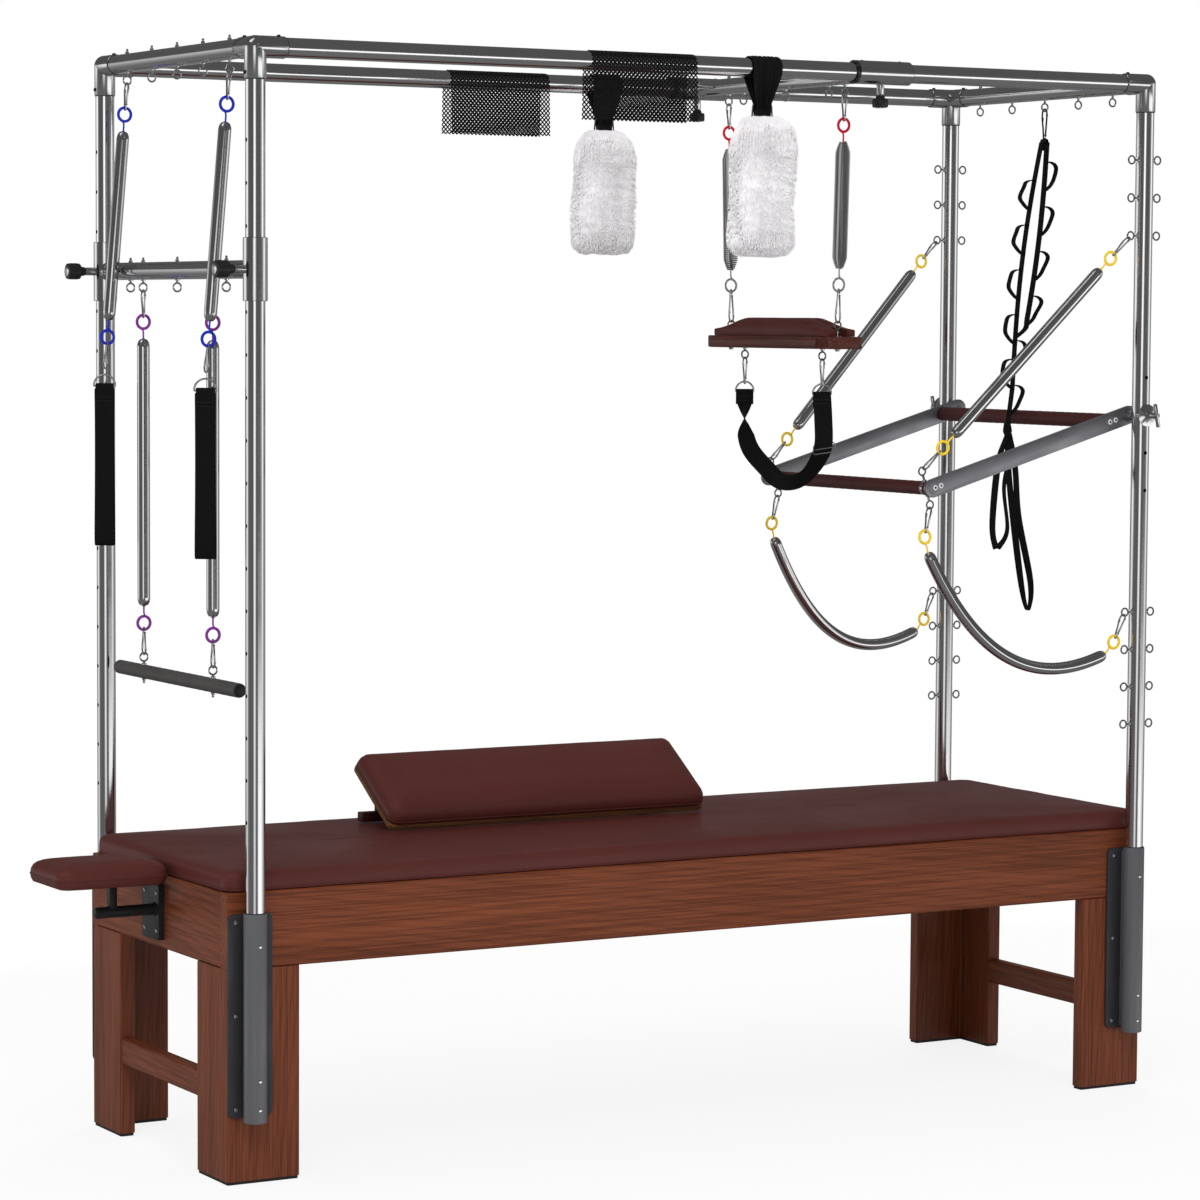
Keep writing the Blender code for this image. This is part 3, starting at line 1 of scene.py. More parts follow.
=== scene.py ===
"""Pilates trapeze table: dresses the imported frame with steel, springs, leather, webbing and fleece."""

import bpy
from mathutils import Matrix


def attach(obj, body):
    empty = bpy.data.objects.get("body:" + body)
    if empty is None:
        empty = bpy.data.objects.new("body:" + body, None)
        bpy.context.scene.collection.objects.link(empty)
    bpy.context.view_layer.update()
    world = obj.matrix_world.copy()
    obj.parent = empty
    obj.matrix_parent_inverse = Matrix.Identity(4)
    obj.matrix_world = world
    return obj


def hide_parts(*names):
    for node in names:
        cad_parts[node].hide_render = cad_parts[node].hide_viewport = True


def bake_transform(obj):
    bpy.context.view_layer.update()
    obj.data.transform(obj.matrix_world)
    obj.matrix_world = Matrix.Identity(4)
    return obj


bl_info = {
    "name": "Pilates Trapeze Table",
    "version": (1, 0, 0),
    "blender": (4, 5, 0),
    "location": "View3D > Sidebar > Trapeze Table",
    "description": "Dresses a trapeze table with steel tube, springs, leather, webbing and fleece",
    "category": "Add Mesh",
}

from math import cos, hypot, pi, radians, sin, sqrt

import bmesh
import bpy
from mathutils import Matrix, Vector, noise

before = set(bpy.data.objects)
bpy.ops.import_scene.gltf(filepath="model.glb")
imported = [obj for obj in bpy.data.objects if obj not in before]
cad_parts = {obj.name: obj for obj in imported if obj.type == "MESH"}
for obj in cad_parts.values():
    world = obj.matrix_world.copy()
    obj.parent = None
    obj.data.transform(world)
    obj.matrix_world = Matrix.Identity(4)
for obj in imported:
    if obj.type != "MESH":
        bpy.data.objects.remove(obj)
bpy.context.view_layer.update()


def at(x, y, z):
    return Vector((x, y, z))


X = at(1, 0, 0)
Y = at(0, 1, 0)
Z = at(0, 0, 1)

# The table's own middle stands this far from the frame's origin, because the headrest counts
SHIFT = X * 0.12

# Places that the pieces share, in metres from the table's own middle
POST_X = 1.035
POST_Y = 0.36
FRAME_TOP = 2.15
LOW_BAR_Z = 1.737
LOW_EYE_Z = 1.7045
TOP_BAR_X = 0.361
TOP_EYE_Y, TOP_EYE_Z = 0.228, 2.1175
PIVOT_Z = 1.45
EYE_Z = 2.116
POST_EYE_X = 1.001
POST_EYES = (1.99, 1.91, 1.83, 1.03, 0.95, 0.87, 0.79)
ARM_SPRING_X, ARM_SPRING_Y, ARM_SPRING_FOOT = -1.084718, 0.245, 1.538
ROLL_EYE_Y, ROLL_EYE_Z = 0.167, 0.9695
TRAPEZE_EYE_Y = 0.21
STRAP_EYE_Y = 0.153
LADDER_TOP = 2.04
LADDER_JOIN = 1.612
LADDER_FOOT = 1.416
COVER_WIDE = 0.237  # along the long tube

# Radii and lengths of tubes, bars, springs and their rings
TUBE = 0.019
TUBE_WALL = 0.002
SLEEVE_BORE = 0.0195
BAR = 0.0175
BAR_HALF = 0.333
HOLE_PITCH = 0.08
PUSH_ARM = 0.528
REAR_ROLL = 0.047
ROLL_HALF = 0.3137
PUSH_EYE_Y, PUSH_EYE_UP = 0.296, 0.03675
SPRING = 0.0127
SPRING_PITCH = 0.0023
RING = 0.0135

PUSH_TILT = radians(16.5)
WIDE = at(0.813, -0.582, 0.0)  # the way that the trapeze strap's rings face
CURL_SEED = 1  # sets the offsets of noise.noise_vector, so the fleece is the same each run
SIDES = (("near", -1), ("far", 1))
ENDS = (("left", -1), ("right", 1))
TABLE = "table_and_frame"
WHITE = (1.0, 1.0, 1.0, 1.0)


# ---------------------------------------------------------------- shader building

def add(tree, kind, feeds=None, **settings):
    """One shader node, with its inputs linked or set."""
    made = tree.nodes.new(kind)
    for key, value in settings.items():
        setattr(made, key, value)
    for key, value in (feeds or {}).items():
        if isinstance(value, bpy.types.NodeSocket):
            tree.links.new(value, made.inputs[key])
        else:
            made.inputs[key].default_value = value
    return made


def sums(tree, operation, a, b=0.0, c=0.0, clamp=False):
    return add(tree, "ShaderNodeMath", {0: a, 1: b, 2: c}, operation=operation, use_clamp=clamp).outputs[0]


def cloud(tree, place, scale, detail, **more):
    """Value of a noise texture."""
    return add(tree, "ShaderNodeTexNoise", {"Vector": place, "Scale": scale, "Detail": detail, **more}).outputs["Fac"]


def scaled(tree, place, scale):
    return add(tree, "ShaderNodeMapping", {"Vector": place, "Scale": scale}).outputs[0]


def climb(tree, value, start, end, **more):
    """0 at the start and 1 at the end of a range."""
    feeds = {"Value": value, "From Min": start, "From Max": end}
    return add(tree, "ShaderNodeMapRange", feeds, **more).outputs[0]


def blend(tree, share, a, b, mode="MIX"):
    a, b = (value if isinstance(value, bpy.types.NodeSocket) else (*value, 1.0) for value in (a, b))
    return add(tree, "ShaderNodeMix", {0: share, 6: a, 7: b}, data_type="RGBA", blend_type=mode,
               clamp_factor=True).outputs[2]


def ramp(tree, share, stops):
    made = add(tree, "ShaderNodeValToRGB", {0: share})
    while len(made.color_ramp.elements) < len(stops):
        made.color_ramp.elements.new(0.5)
    for element, (spot, value) in zip(made.color_ramp.elements, stops):
        element.position = spot
        element.color = (*(value if isinstance(value, tuple) else (value, value, value)), 1.0)
    return made.outputs[0]


def effect(name, inputs, outputs):
    """Node group with named inputs and outputs, made once."""
    tree = bpy.data.node_groups.new(name, "ShaderNodeTree")
    for label, kind, value in inputs:
        socket = tree.interface.new_socket(label, in_out="INPUT", socket_type="NodeSocket" + kind)
        if value is not None:
            socket.default_value = value
    for label, kind in outputs:
        tree.interface.new_socket(label, in_out="OUTPUT", socket_type="NodeSocket" + kind)
    return tree, tree.nodes.new("NodeGroupInput").outputs, tree.nodes.new("NodeGroupOutput").inputs


def wear_effect():
    """Cloudy handling marks with fine scratches through them."""
    tree, fed, out = effect("handling_wear", [("Vector", "Vector", None), ("Scale", "Float", 9.0)],
                            [("Clouds", "Float"), ("Scratches", "Float")])
    clouds = cloud(tree, fed["Vector"], fed["Scale"], 5.0, Roughness=0.62)
    tree.links.new(clouds, out["Clouds"])
    lines = cloud(tree, fed["Vector"], sums(tree, "MULTIPLY", fed["Scale"], 24.0), 3.0, Distortion=2.2)
    thin = ramp(tree, lines, [(0.0, 0.0), (0.485, 0.0), (0.5, 1.0), (0.515, 0.0), (1.0, 0.0)])
    tree.links.new(sums(tree, "MULTIPLY", thin, clouds), out["Scratches"])
    return tree


def wood_effect():
    """Wood grain that runs along the first axis of its vector."""
    tree, fed, out = effect("wood_grain", [("Vector", "Vector", None), ("Light", "Color", None),
                                           ("Dark", "Color", None)], [("Color", "Color"), ("Height", "Float")])
    slow = scaled(tree, fed["Vector"], (0.9, 7.5, 7.5))
    drift = cloud(tree, slow, 1.1, 4.0, Roughness=0.55)
    bands = add(tree, "ShaderNodeTexWave", {"Vector": slow, "Scale": 4.8, "Distortion": 7.0, "Detail": 2.0,
                                            "Detail Scale": 0.34, "Detail Roughness": 0.42},
                bands_direction="DIAGONAL").outputs["Fac"]
    rings = ramp(tree, bands, [(0.0, 0.0), (0.3, 0.62), (0.75, 1.0), (1.0, 0.8)])
    pores = cloud(tree, scaled(tree, fed["Vector"], (4.0, 330.0, 330.0)), 1.0, 3.0)
    tone = sums(tree, "MULTIPLY_ADD", drift, 0.88, sums(tree, "MULTIPLY", rings, 0.18))
    base = blend(tree, sums(tree, "SUBTRACT", tone, 0.09, clamp=True), fed["Dark"], fed["Light"])
    lines = ramp(tree, pores, [(0.0, 0.35), (0.43, 0.55), (0.56, 1.0), (1.0, 1.0)])
    tree.links.new(blend(tree, 0.75, base, lines, "MULTIPLY"), out["Color"])
    tree.links.new(lines, out["Height"])
    return tree


def hide_effect():
    """Pebbled leather: small cells with creases, and slow cloudy colour."""
    tree, fed, out = effect("leather_hide", [("Vector", "Vector", None), ("Scale", "Float", 520.0)],
                            [("Height", "Float"), ("Clouds", "Float")])
    cells = add(tree, "ShaderNodeTexVoronoi", {"Vector": fed["Vector"], "Scale": fed["Scale"]},
                feature="SMOOTH_F1").outputs["Distance"]
    fine = cloud(tree, fed["Vector"], 240.0, 4.0)
    tree.links.new(sums(tree, "MULTIPLY_ADD", cells, 0.8, fine), out["Height"])
    tree.links.new(cloud(tree, fed["Vector"], 3.2, 5.0, Roughness=0.6), out["Clouds"])
    return tree


def weave_effect():
    """Plain weave: two crossed rows of threads a pitch apart."""
    tree, fed, out = effect("woven_threads", [("Vector", "Vector", None), ("Pitch", "Float", 0.0018)],
                            [("Height", "Float"), ("Thread", "Float")])
    parts = add(tree, "ShaderNodeSeparateXYZ", {0: fed["Vector"]})
    rows = []
    for axis in (0, 1):
        turns = sums(tree, "DIVIDE", parts.outputs[axis], fed["Pitch"])
        rows.append(sums(tree, "SINE", sums(tree, "MULTIPLY", turns, pi)))
    tree.links.new(sums(tree, "ABSOLUTE", sums(tree, "MULTIPLY", *rows)), out["Height"])
    tree.links.new(sums(tree, "ABSOLUTE", rows[1]), out["Thread"])
    return tree


def speckle_effect():
    """Fine grain of foam, cast metal or moulded plastic."""
    tree, fed, out = effect("fine_speckle", [("Vector", "Vector", None), ("Scale", "Float", 900.0)],
                            [("Height", "Float"), ("Clouds", "Float")])
    tree.links.new(cloud(tree, fed["Vector"], fed["Scale"], 2.0), out["Height"])
    tree.links.new(cloud(tree, fed["Vector"], 14.0, 4.0), out["Clouds"])
    return tree


EFFECTS = {}
PAINTS = {}


def use(tree, name, feeds):
    """Places a shared effect in a material's tree."""
    makers = {"handling_wear": wear_effect, "wood_grain": wood_effect, "leather_hide": hide_effect,
              "woven_threads": weave_effect, "fine_speckle": speckle_effect}
    if name not in EFFECTS:
        EFFECTS[name] = makers[name]()
    return add(tree, "ShaderNodeGroup", feeds, node_tree=EFFECTS[name]).outputs


def shader(name, colour, roughness, metallic=0.0, **fixed):
    """New material: its tree, its Principled node and the object's own coordinates."""
    made = bpy.data.materials.new(name)
    made.use_nodes = True
    tree = made.node_tree
    main = tree.nodes["Principled BSDF"]
    main.inputs["Base Color"].default_value = (*colour, 1.0)
    main.inputs["Roughness"].default_value = roughness
    main.inputs["Metallic"].default_value = metallic
    for key, value in fixed.items():
        main.inputs[key.replace("_", " ")].default_value = value
    made.diffuse_color = (*colour, 1.0)
    PAINTS[name] = made
    return made, tree, main, add(tree, "ShaderNodeTexCoord").outputs["Object"]


def bump(tree, main, height, distance, strength=1.0):
    made = add(tree, "ShaderNodeBump", {"Height": height, "Distance": distance, "Strength": strength})
    tree.links.new(made.outputs[0], main.inputs["Normal"])


def spread(tree, main, socket, value, low, high):
    """Maps a 0 to 1 value to a range and feeds it to one of the shader's sockets."""
    made = add(tree, "ShaderNodeMapRange", {"Value": value, "From Min": 0.3, "From Max": 0.7, "To Min": low,
                                            "To Max": high})
    tree.links.new(made.outputs[0], main.inputs[socket])


def shade(colour, amount):
    return tuple(channel * amount for channel in colour)


def metal(name, colour, roughness, scale=9.0, grain=0.0, metallic=1.0):
    made, tree, main, place = shader(name, colour, roughness, metallic)
    wear = use(tree, "handling_wear", {"Vector": place, "Scale": scale})
    spread(tree, main, "Roughness", wear["Clouds"], roughness * 0.75, roughness * 1.35)
    share = sums(tree, "MULTIPLY", wear["Scratches"], 0.15)
    tree.links.new(blend(tree, share, colour, shade(colour, 0.72)), main.inputs["Base Color"])
    if grain:
        bump(tree, main, use(tree, "fine_speckle", {"Vector": place, "Scale": 1300.0})["Height"], grain)
    return made


def timber(name, light, dark, turn, roughness=0.36):
    """Wood whose grain runs along x, y or z."""
    made, tree, main, place = shader(name, light, roughness, Specular_IOR_Level=0.16)
    turned_place = add(tree, "ShaderNodeMapping", {"Vector": place, "Rotation": turn}).outputs[0]
    grain = use(tree, "wood_grain", {"Vector": turned_place, "Light": (*light, 1.0), "Dark": (*dark, 1.0)})
    wear = use(tree, "handling_wear", {"Vector": place, "Scale": 6.0})
    tree.links.new(grain["Color"], main.inputs["Base Color"])
    spread(tree, main, "Roughness", wear["Clouds"], roughness * 0.85, roughness * 1.25)
    bump(tree, main, grain["Height"], 0.00025, 0.5)
    return made


def pile(name):
    """White wool with slow warm and cool patches."""
    made, tree, main, place = shader(name, (0.7, 0.685, 0.69), 0.9, Specular_IOR_Level=0.1)
    clumps = cloud(tree, scaled(tree, place, (1.0, 1.0, 0.35)), 60.0, 6.0, Roughness=0.7)
    tone = sums(tree, "MULTIPLY_ADD", cloud(tree, place, 16.0, 3.0), 0.6, clumps)
    warm = ramp(tree, tone, [(0.0, (0.66, 0.645, 0.655)), (0.62, (0.8, 0.785, 0.8)), (0.95, (0.89, 0.875, 0.89)),
                             (1.0, (0.9, 0.885, 0.9))])
    tree.links.new(warm, main.inputs["Base Color"])
    spread(tree, main, "Roughness", clumps, 0.82, 1.0)
    bump(tree, main, clumps, 0.0012, 0.6)
    return made


def hide(name, colour, roughness=0.4):
    made, tree, main, place = shader(name, colour, roughness, Specular_IOR_Level=0.22)
    grain = use(tree, "leather_hide", {"Vector": place})
    deep = blend(tree, grain["Clouds"], shade(colour, 0.88), shade(colour, 1.14))
    # Painted shade: the colour is darkened where the grain lies low, in its hollows and creases.
    creases = ramp(tree, grain["Height"], [(0.0, 0.7), (0.35, 0.88), (0.8, 1.0)])
    tree.links.new(blend(tree, 0.6, deep, creases, "MULTIPLY"), main.inputs["Base Color"])
    spread(tree, main, "Roughness", grain["Clouds"], roughness * 1.15, roughness * 0.85)
    bump(tree, main, grain["Height"], 0.00022, 0.55)
    return made


def plastic(name, colour, roughness, grain=0.00008, scale=900.0):
    made, tree, main, place = shader(name, colour, roughness, Specular_IOR_Level=0.3)
    speckle = use(tree, "fine_speckle", {"Vector": place, "Scale": scale})
    tree.links.new(blend(tree, speckle["Clouds"], shade(colour, 0.78), shade(colour, 1.28)),
                   main.inputs["Base Color"])
    spread(tree, main, "Roughness", speckle["Clouds"], roughness * 0.85, roughness * 1.15)
    bump(tree, main, speckle["Height"], grain)
    return made


def threads(tree):
    """The strap's own lengthwise and crosswise place, stored on its points."""
    return add(tree, "ShaderNodeAttribute", attribute_name="thread").outputs["Vector"]


def webbing(name, colour, pitch, roughness=0.62, gloss=0.0):
    made, tree, main, place = shader(name, colour, roughness, Specular_IOR_Level=0.1)
    weave = use(tree, "woven_threads", {"Vector": threads(tree), "Pitch": pitch})
    wear = use(tree, "handling_wear", {"Vector": place, "Scale": 22.0})
    # Painted shade and highlight: the hollows between threads are darkened and the thread crowns lightened.
    tone = blend(tree, weave["Height"], shade(colour, 0.45), shade(colour, 1.9))
    tree.links.new(blend(tree, wear["Clouds"], tone, shade(colour, 1.3)), main.inputs["Base Color"])
    spread(tree, main, "Roughness", wear["Clouds"], roughness * (0.9 - gloss), roughness * 1.1)
    bump(tree, main, weave["Height"], 0.0004, 0.8)
    return made


def banded(name, colour, roughness, pitch, depth, metallic=0.0):
    """Turned thread or ribs along a small fitting."""
    made, tree, main, place = shader(name, colour, roughness, metallic)
    wave = add(tree, "ShaderNodeTexWave", {"Vector": place, "Scale": 1.0 / pitch / 20.0}, bands_direction="Z")
    wear = use(tree, "handling_wear", {"Vector": place, "Scale": 30.0})
    spread(tree, main, "Roughness", wear["Clouds"], roughness * 0.8, roughness * 1.2)
    tree.links.new(blend(tree, wear["Clouds"], shade(colour, 0.85), colour), main.inputs["Base Color"])
    bump(tree, main, wave.outputs["Fac"], depth)
    return made


def paint(name):
    """Material of one finish, made the first time it is asked for."""
    if name in PAINTS:
        return PAINTS[name]
    finish = bpy.context.scene.trapeze_finish
    light = tuple(finish.walnut)
    dark = (light[0] * 0.3, light[1] * 0.26, light[2] * 0.26)
    leather = tuple(finish.leather)
    if name.startswith("ring_"):
        return plastic(name, tuple(getattr(finish, name)), 0.3)
    recipes = {
        "steel_tube": (metal, tuple(finish.steel), 0.11, 7.0),
        # Painted shade: near-black finish for the bores of tubes and the recesses of screws.
        "tube_inside": (metal, (0.030, 0.030, 0.033), 0.5, 12.0, 0.0, 0.3),
        "screw_face": (metal, (0.80, 0.80, 0.82), 0.45, 60.0, 0.0, 0.25),
        "fitting_steel": (metal, (0.64, 0.64, 0.65), 0.14, 26.0),
        "bright_chrome": (metal, (0.68, 0.68, 0.70), 0.08, 40.0),
        "spring_steel": (metal, (0.66, 0.66, 0.67), 0.06, 12.0),
        "hook_steel": (metal, (0.70, 0.69, 0.70), 0.15, 60.0),
        "socket_metal": (metal, (0.155, 0.158, 0.168), 0.42, 12.0, 0.00004, 0.45),
        "socket_plate": (metal, (0.040, 0.041, 0.047), 0.45, 12.0, 0.00004, 0.30),
        "arm_metal": (metal, (0.25, 0.25, 0.27), 0.34, 10.0, 0.00003, 0.80),
        "walnut_x": (timber, light, dark, (0, 0, 0)),
        "walnut_y": (timber, light, dark, (0, 0, pi / 2)),
        "walnut_z": (timber, light, dark, (0, pi / 2, 0)),
        "board_walnut": (timber, (0.112, 0.036, 0.026), (0.066, 0.020, 0.015), (0, 0, pi / 2), 0.30),
        "dark_walnut": (timber, (0.050, 0.014, 0.011), (0.026, 0.007, 0.006), (0, 0, 0), 0.36),
        "edge_wood": (timber, (0.24, 0.105, 0.040), (0.11, 0.045, 0.018), (0, 0, 0), 0.5),
        "leather": (hide, leather),
        "pad_leather": (hide, (leather[0] * 0.92, leather[1] * 0.85, leather[2] * 0.85), 0.44),
        "stitching": (plastic, shade(leather, 0.45), 0.6),
        "roll_foam": (plastic, (0.058, 0.014, 0.013), 0.55, 0.00025, 420.0),
        "grip_foam": (plastic, (0.062, 0.057, 0.056), 0.62, 0.0003, 480.0),
        "black_plastic": (plastic, (0.013, 0.013, 0.014), 0.34),
        "black_rubber": (plastic, (0.016, 0.016, 0.016), 0.58, 0.00012),
        "webbing": (webbing, (0.0055, 0.0052, 0.0058), 0.0017),
        "gathered_webbing": (webbing, (0.006, 0.006, 0.0065), 0.0016, 0.34, 0.45),
        "net_cloth": (webbing, (0.009, 0.008, 0.009), 0.0009, 0.66),
        "thread_black": (plastic, (0.024, 0.024, 0.026), 0.5),
        "fleece_pile": (pile,),
        "threaded_steel": (banded, (0.62, 0.62, 0.63), 0.22, 0.0013, 0.0004, 1.0),
    }
    maker, *settings = recipes[name]
    return maker(name, *settings)


# ---------------------------------------------------------------- shape building

class Mould:
    """Gathers the faces of one piece in the table's own frame, then makes the object."""

    def __init__(self):
        self.points = []
        self.faces = []
        self.slots = []
        self.threads = []
        self.paints = []

    def slot_of(self, name):
        if name not in self.paints:
            self.paints.append(name)
        return self.paints.index(name)

    def add(self, points, faces, name, threads=None):
        base = len(self.points)
        slot = self.slot_of(name)
        self.points.extend(points)
        self.faces.extend([tuple(corner + base for corner in face) for face in faces])
        self.slots.extend([slot] * len(faces))
        self.threads.extend(threads or [(p[0], p[2], p[1]) for p in points])

    def take(self, mesh, name):
        """Adds a bmesh and frees it."""
        mesh.verts.index_update()
        points = [vert.co.copy() for vert in mesh.verts]
        faces = [tuple(vert.index for vert in face.verts) for face in mesh.faces]
        mesh.free()
        self.add(points, faces, name)

    def make(self, name, body, finish_slot, replaces=(), sharp=38):
        data = bpy.data.meshes.new(name)
        data.from_pydata([point + SHIFT for point in self.points], [], self.faces)
        for label in self.paints:
            data.materials.append(paint(label))
        data.polygons.foreach_set("material_index", self.slots)
        marks = data.attributes.new("thread", "FLOAT_VECTOR", "POINT")
        marks.data.foreach_set("vector", [value for row in self.threads for value in row])
        cleaned = bmesh.new()
        cleaned.from_mesh(data)
        bmesh.ops.recalc_face_normals(cleaned, faces=cleaned.faces[:])
        cleaned.to_mesh(data)
        cleaned.free()
        data.shade_smooth()
        data.set_sharp_from_angle(angle=radians(sharp))
        made = bpy.data.objects.new(name, data)
        bpy.context.scene.collection.objects.link(made)
        if body:
            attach(made, body)
        if replaces:
            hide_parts(*replaces)
        return made


def square_to(axis):
    """Two directions square to an axis."""
    guide = X if abs(axis.z) > 0.9 else Z
    u = (guide - axis * guide.dot(axis)).normalized()
    return u, axis.cross(u)


def ring_of(centre, u, v, radius, count):
    return [centre + u * (radius * cos(2 * pi * i / count)) + v * (radius * sin(2 * pi * i / count))
            for i in range(count)]


def loft(rings, around=True, loop=False, caps=True):
    """Points and faces of a skin through equal rows of points."""
    count = len(rings[0])
    points = [point for ring in rings for point in ring]
    faces = []
    spans = len(rings) if loop else len(rings) - 1
    sides = count if around else count - 1
    for i in range(spans):
        a = i * count
        b = (i + 1) % len(rings) * count
        for j in range(sides):
            k = (j + 1) % count
            faces.append((a + j, a + k, b + k, b + j))
    if caps and around and not loop:
        faces.append(tuple(range(count - 1, -1, -1)))
        faces.append(tuple(range(len(points) - count, len(points))))
    return points, faces


def smooth(points, per=6, loop=False):
    """Even curve through points."""
    count = len(points)
    found = []
    for i in range(count if loop else count - 1):
        a = points[i - 1] if (i or loop) else points[0] * 2 - points[1]
        b = points[i]
        c = points[(i + 1) % count]
        d = points[(i + 2) % count] if (i + 2 < count or loop) else c * 2 - b
        second = a * 2 - b * 5 + c * 4 - d
        third = b * 3 - a - c * 3 + d
        for step in range(per):
            t = step / per
            found.append((b * 2 + (c - a) * t + second * t * t + third * t ** 3) * 0.5)
    if not loop:
        found.append(points[-1].copy())
    return found


def carried(path, loop=False, first=None):
    """Direction and two square directions along a path, carried on without twist."""
    count = len(path)
    found = []
    u = first
    for i in range(count):
        back = path[i - 1] if (i or loop) else path[0]
        ahead = path[(i + 1) % count] if (i < count - 1 or loop) else path[-1]
        along = (ahead - back).normalized()
        u = square_to(along)[0] if u is None else (u - along * u.dot(along)).normalized()
        found.append((along, u, along.cross(u)))
    return found


def rod(mould, path, radius, name, sides=12, loop=False, first=None):
    """Round wire or tube along a path; the radius may change from point to point."""
    radii = radius if isinstance(radius, (list, tuple)) else [radius] * len(path)
    rings = []
    for point, size, (_, u, v) in zip(path, radii, carried(path, loop, first)):
        rings.append(ring_of(point, u, v, size, sides))
    mould.add(*loft(rings, loop=loop), name)


def turned(mould, base, axis, profile, name, sides=32, hollow=False):
    """Turned body from (radius, distance along the axis) pairs."""
    u, v = square_to(axis)
    rings = [ring_of(base + axis * far, u, v, radius, sides) for radius, far in profile]
    mould.add(*loft(rings, loop=hollow, caps=not hollow), name)


def tube(mould, base, axis, radius, length, name, sides=48):
    """Plain round bar."""
    turned(mould, base, axis, [(radius, 0.0), (radius, length)], name, sides)


def washer(mould, base, axis, inner, outer, width, name="black_plastic"):
    """Flat ring round an axis."""
    turned(mould, base, axis, [(inner, 0.0), (outer, 0.0), (outer, width), (inner, width)], name, 48, hollow=True)


def hoop(mould, centre, normal, radius, wire, name, steps=30, sides=10, start=0.0, turn=2 * pi):
    """Closed ring, or an open one where the turn is less than full."""
    u, v = square_to(normal)
    closed = turn >= 2 * pi - 1e-6
    count = steps if closed else steps + 1
    path = [centre + u * (radius * cos(start + turn * i / steps)) + v * (radius * sin(start + turn * i / steps))
            for i in range(count)]
    rod(mould, path, wire, name, sides, loop=closed, first=normal)


def hexagon(mould, base, axis, radius, height, name="fitting_steel"):
    """Nut with eased edges."""
    mesh = bmesh.new()
    u, v = square_to(axis)
    low, high = ([mesh.verts.new(point) for point in ring_of(spot, u, v, radius, 6)]
                 for spot in (base, base + axis * height))
    close_sides(mesh, low, high)
    bmesh.ops.bevel(mesh, geom=mesh.edges[:], offset=radius * 0.1, segments=1, affect="EDGES")
    mould.take(mesh, name)


def close_sides(mesh, low, high):
    """Faces of a prism between two loops of points; gives its two end faces."""
    ends = [mesh.faces.new(low), mesh.faces.new(high)]
    for j in range(len(low)):
        k = (j + 1) % len(low)
        mesh.faces.new((low[j], low[k], high[k], high[j]))
    return ends


def dome(mould, place, out, radius, height, name, sides=16):
    """Button-head screw with a hex recess."""
    steps = [(1.0, None), (1.0, 0.25), (0.86, 0.7), (0.6, 1.0), (0.42, 1.0), (0.4, 0.35)]
    turned(mould, place, out, [(radius * a, -0.0008 if b is None else height * b) for a, b in steps], name, sides)


def block(mould, low, high, name, bevel=0.001, turn=None):
    """Box with eased edges."""
    mesh = bmesh.new()
    bmesh.ops.create_cube(mesh, size=1.0)
    centre = (low + high) / 2
    size = high - low
    bmesh.ops.scale(mesh, vec=size, verts=mesh.verts[:])
    bmesh.ops.bevel(mesh, geom=mesh.edges[:], offset=bevel, segments=2, affect="EDGES", profile=0.6)
    if turn is not None:
        bmesh.ops.rotate(mesh, cent=(0, 0, 0), matrix=turn, verts=mesh.verts[:])
    bmesh.ops.translate(mesh, vec=centre, verts=mesh.verts[:])
    mould.take(mesh, name)


def plate(mould, outline, along, start, end, name, bevel=0.0008):
    """Flat outline pushed along an axis, its rims eased."""
    mesh = bmesh.new()
    low, high = ([mesh.verts.new(point + along * far) for point in outline] for far in (start, end))
    edges = list({edge for face in close_sides(mesh, low, high) for edge in face.edges})
    bmesh.ops.bevel(mesh, geom=edges, offset=bevel, segments=2, affect="EDGES", profile=0.6)
    mould.take(mesh, name)


def rounded(corners, radius, steps=5):
    """Polygon with each corner replaced by an arc."""
    points = []
    count = len(corners)
    for i, corner in enumerate(corners):
        back = (corners[i - 1] - corner).normalized()
        ahead = (corners[(i + 1) % count] - corner).normalized()
        centre = corner + (back + ahead) * radius
        for step in range(steps + 1):
            angle = 0.5 * pi * step / steps
            points.append(centre - ahead * (radius * cos(angle)) - back * (radius * sin(angle)))
    return points


def rectangle(u, v, u0, u1, v0, v1):
    return [u * u0 + v * v0, u * u1 + v * v0, u * u1 + v * v1, u * u0 + v * v1]


def strap(mould, path, across, width, thick, name="webbing", loop=False):
    """Webbing along a path: a flat section with round edges, and its thread places."""
    widths = width if isinstance(width, (list, tuple)) else [width] * len(path)
    flats = across if isinstance(across, list) else [across] * len(path)
    rings = []
    marks = []
    far = 0.0
    for i, (point, flat, wide, (along, _, _)) in enumerate(zip(path, flats, widths, carried(path, loop))):
        if i:
            far += (point - path[i - 1]).length
        flat = (flat - along * flat.dot(along)).normalized()
        face = along.cross(flat)
        half = wide / 2
        edge = half - thick * 0.45
        section = []
        for side in (1, -1):
            section += [(spot * side, thick / 2 * side) for spot in (-edge, -edge * 0.5, 0.0, edge * 0.5, edge)]
            section.append((half * side, 0.0))
        rings.append([point + flat * x + face * y for x, y in section])
        marks += [(far, x, y) for x, y in section]
    mould.add(*loft(rings, loop=loop), name, marks)


def path_length(path):
    return sum((path[i] - path[i - 1]).length for i in range(1, len(path)))


def stitch(mould, path, normal, name="thread_black", pitch=0.0036, lift=0.0003, wire=0.0005):
    """Row of thread stitches along a line on a surface."""
    length = path_length(path)
    count = max(2, int(length / pitch))
    for n in range(count):
        a = along_path(path, length * (n + 0.12) / count)
        b = along_path(path, length * (n + 0.78) / count)
        middle = (a + b) / 2 + normal * (lift * 1.6)
        low = normal * 0.0002
        high = normal * lift * 0.3
        rod(mould, [a - low, a.lerp(middle, 0.6) + high, middle, b.lerp(middle, 0.6) + high, b - low], wire, name, 5)


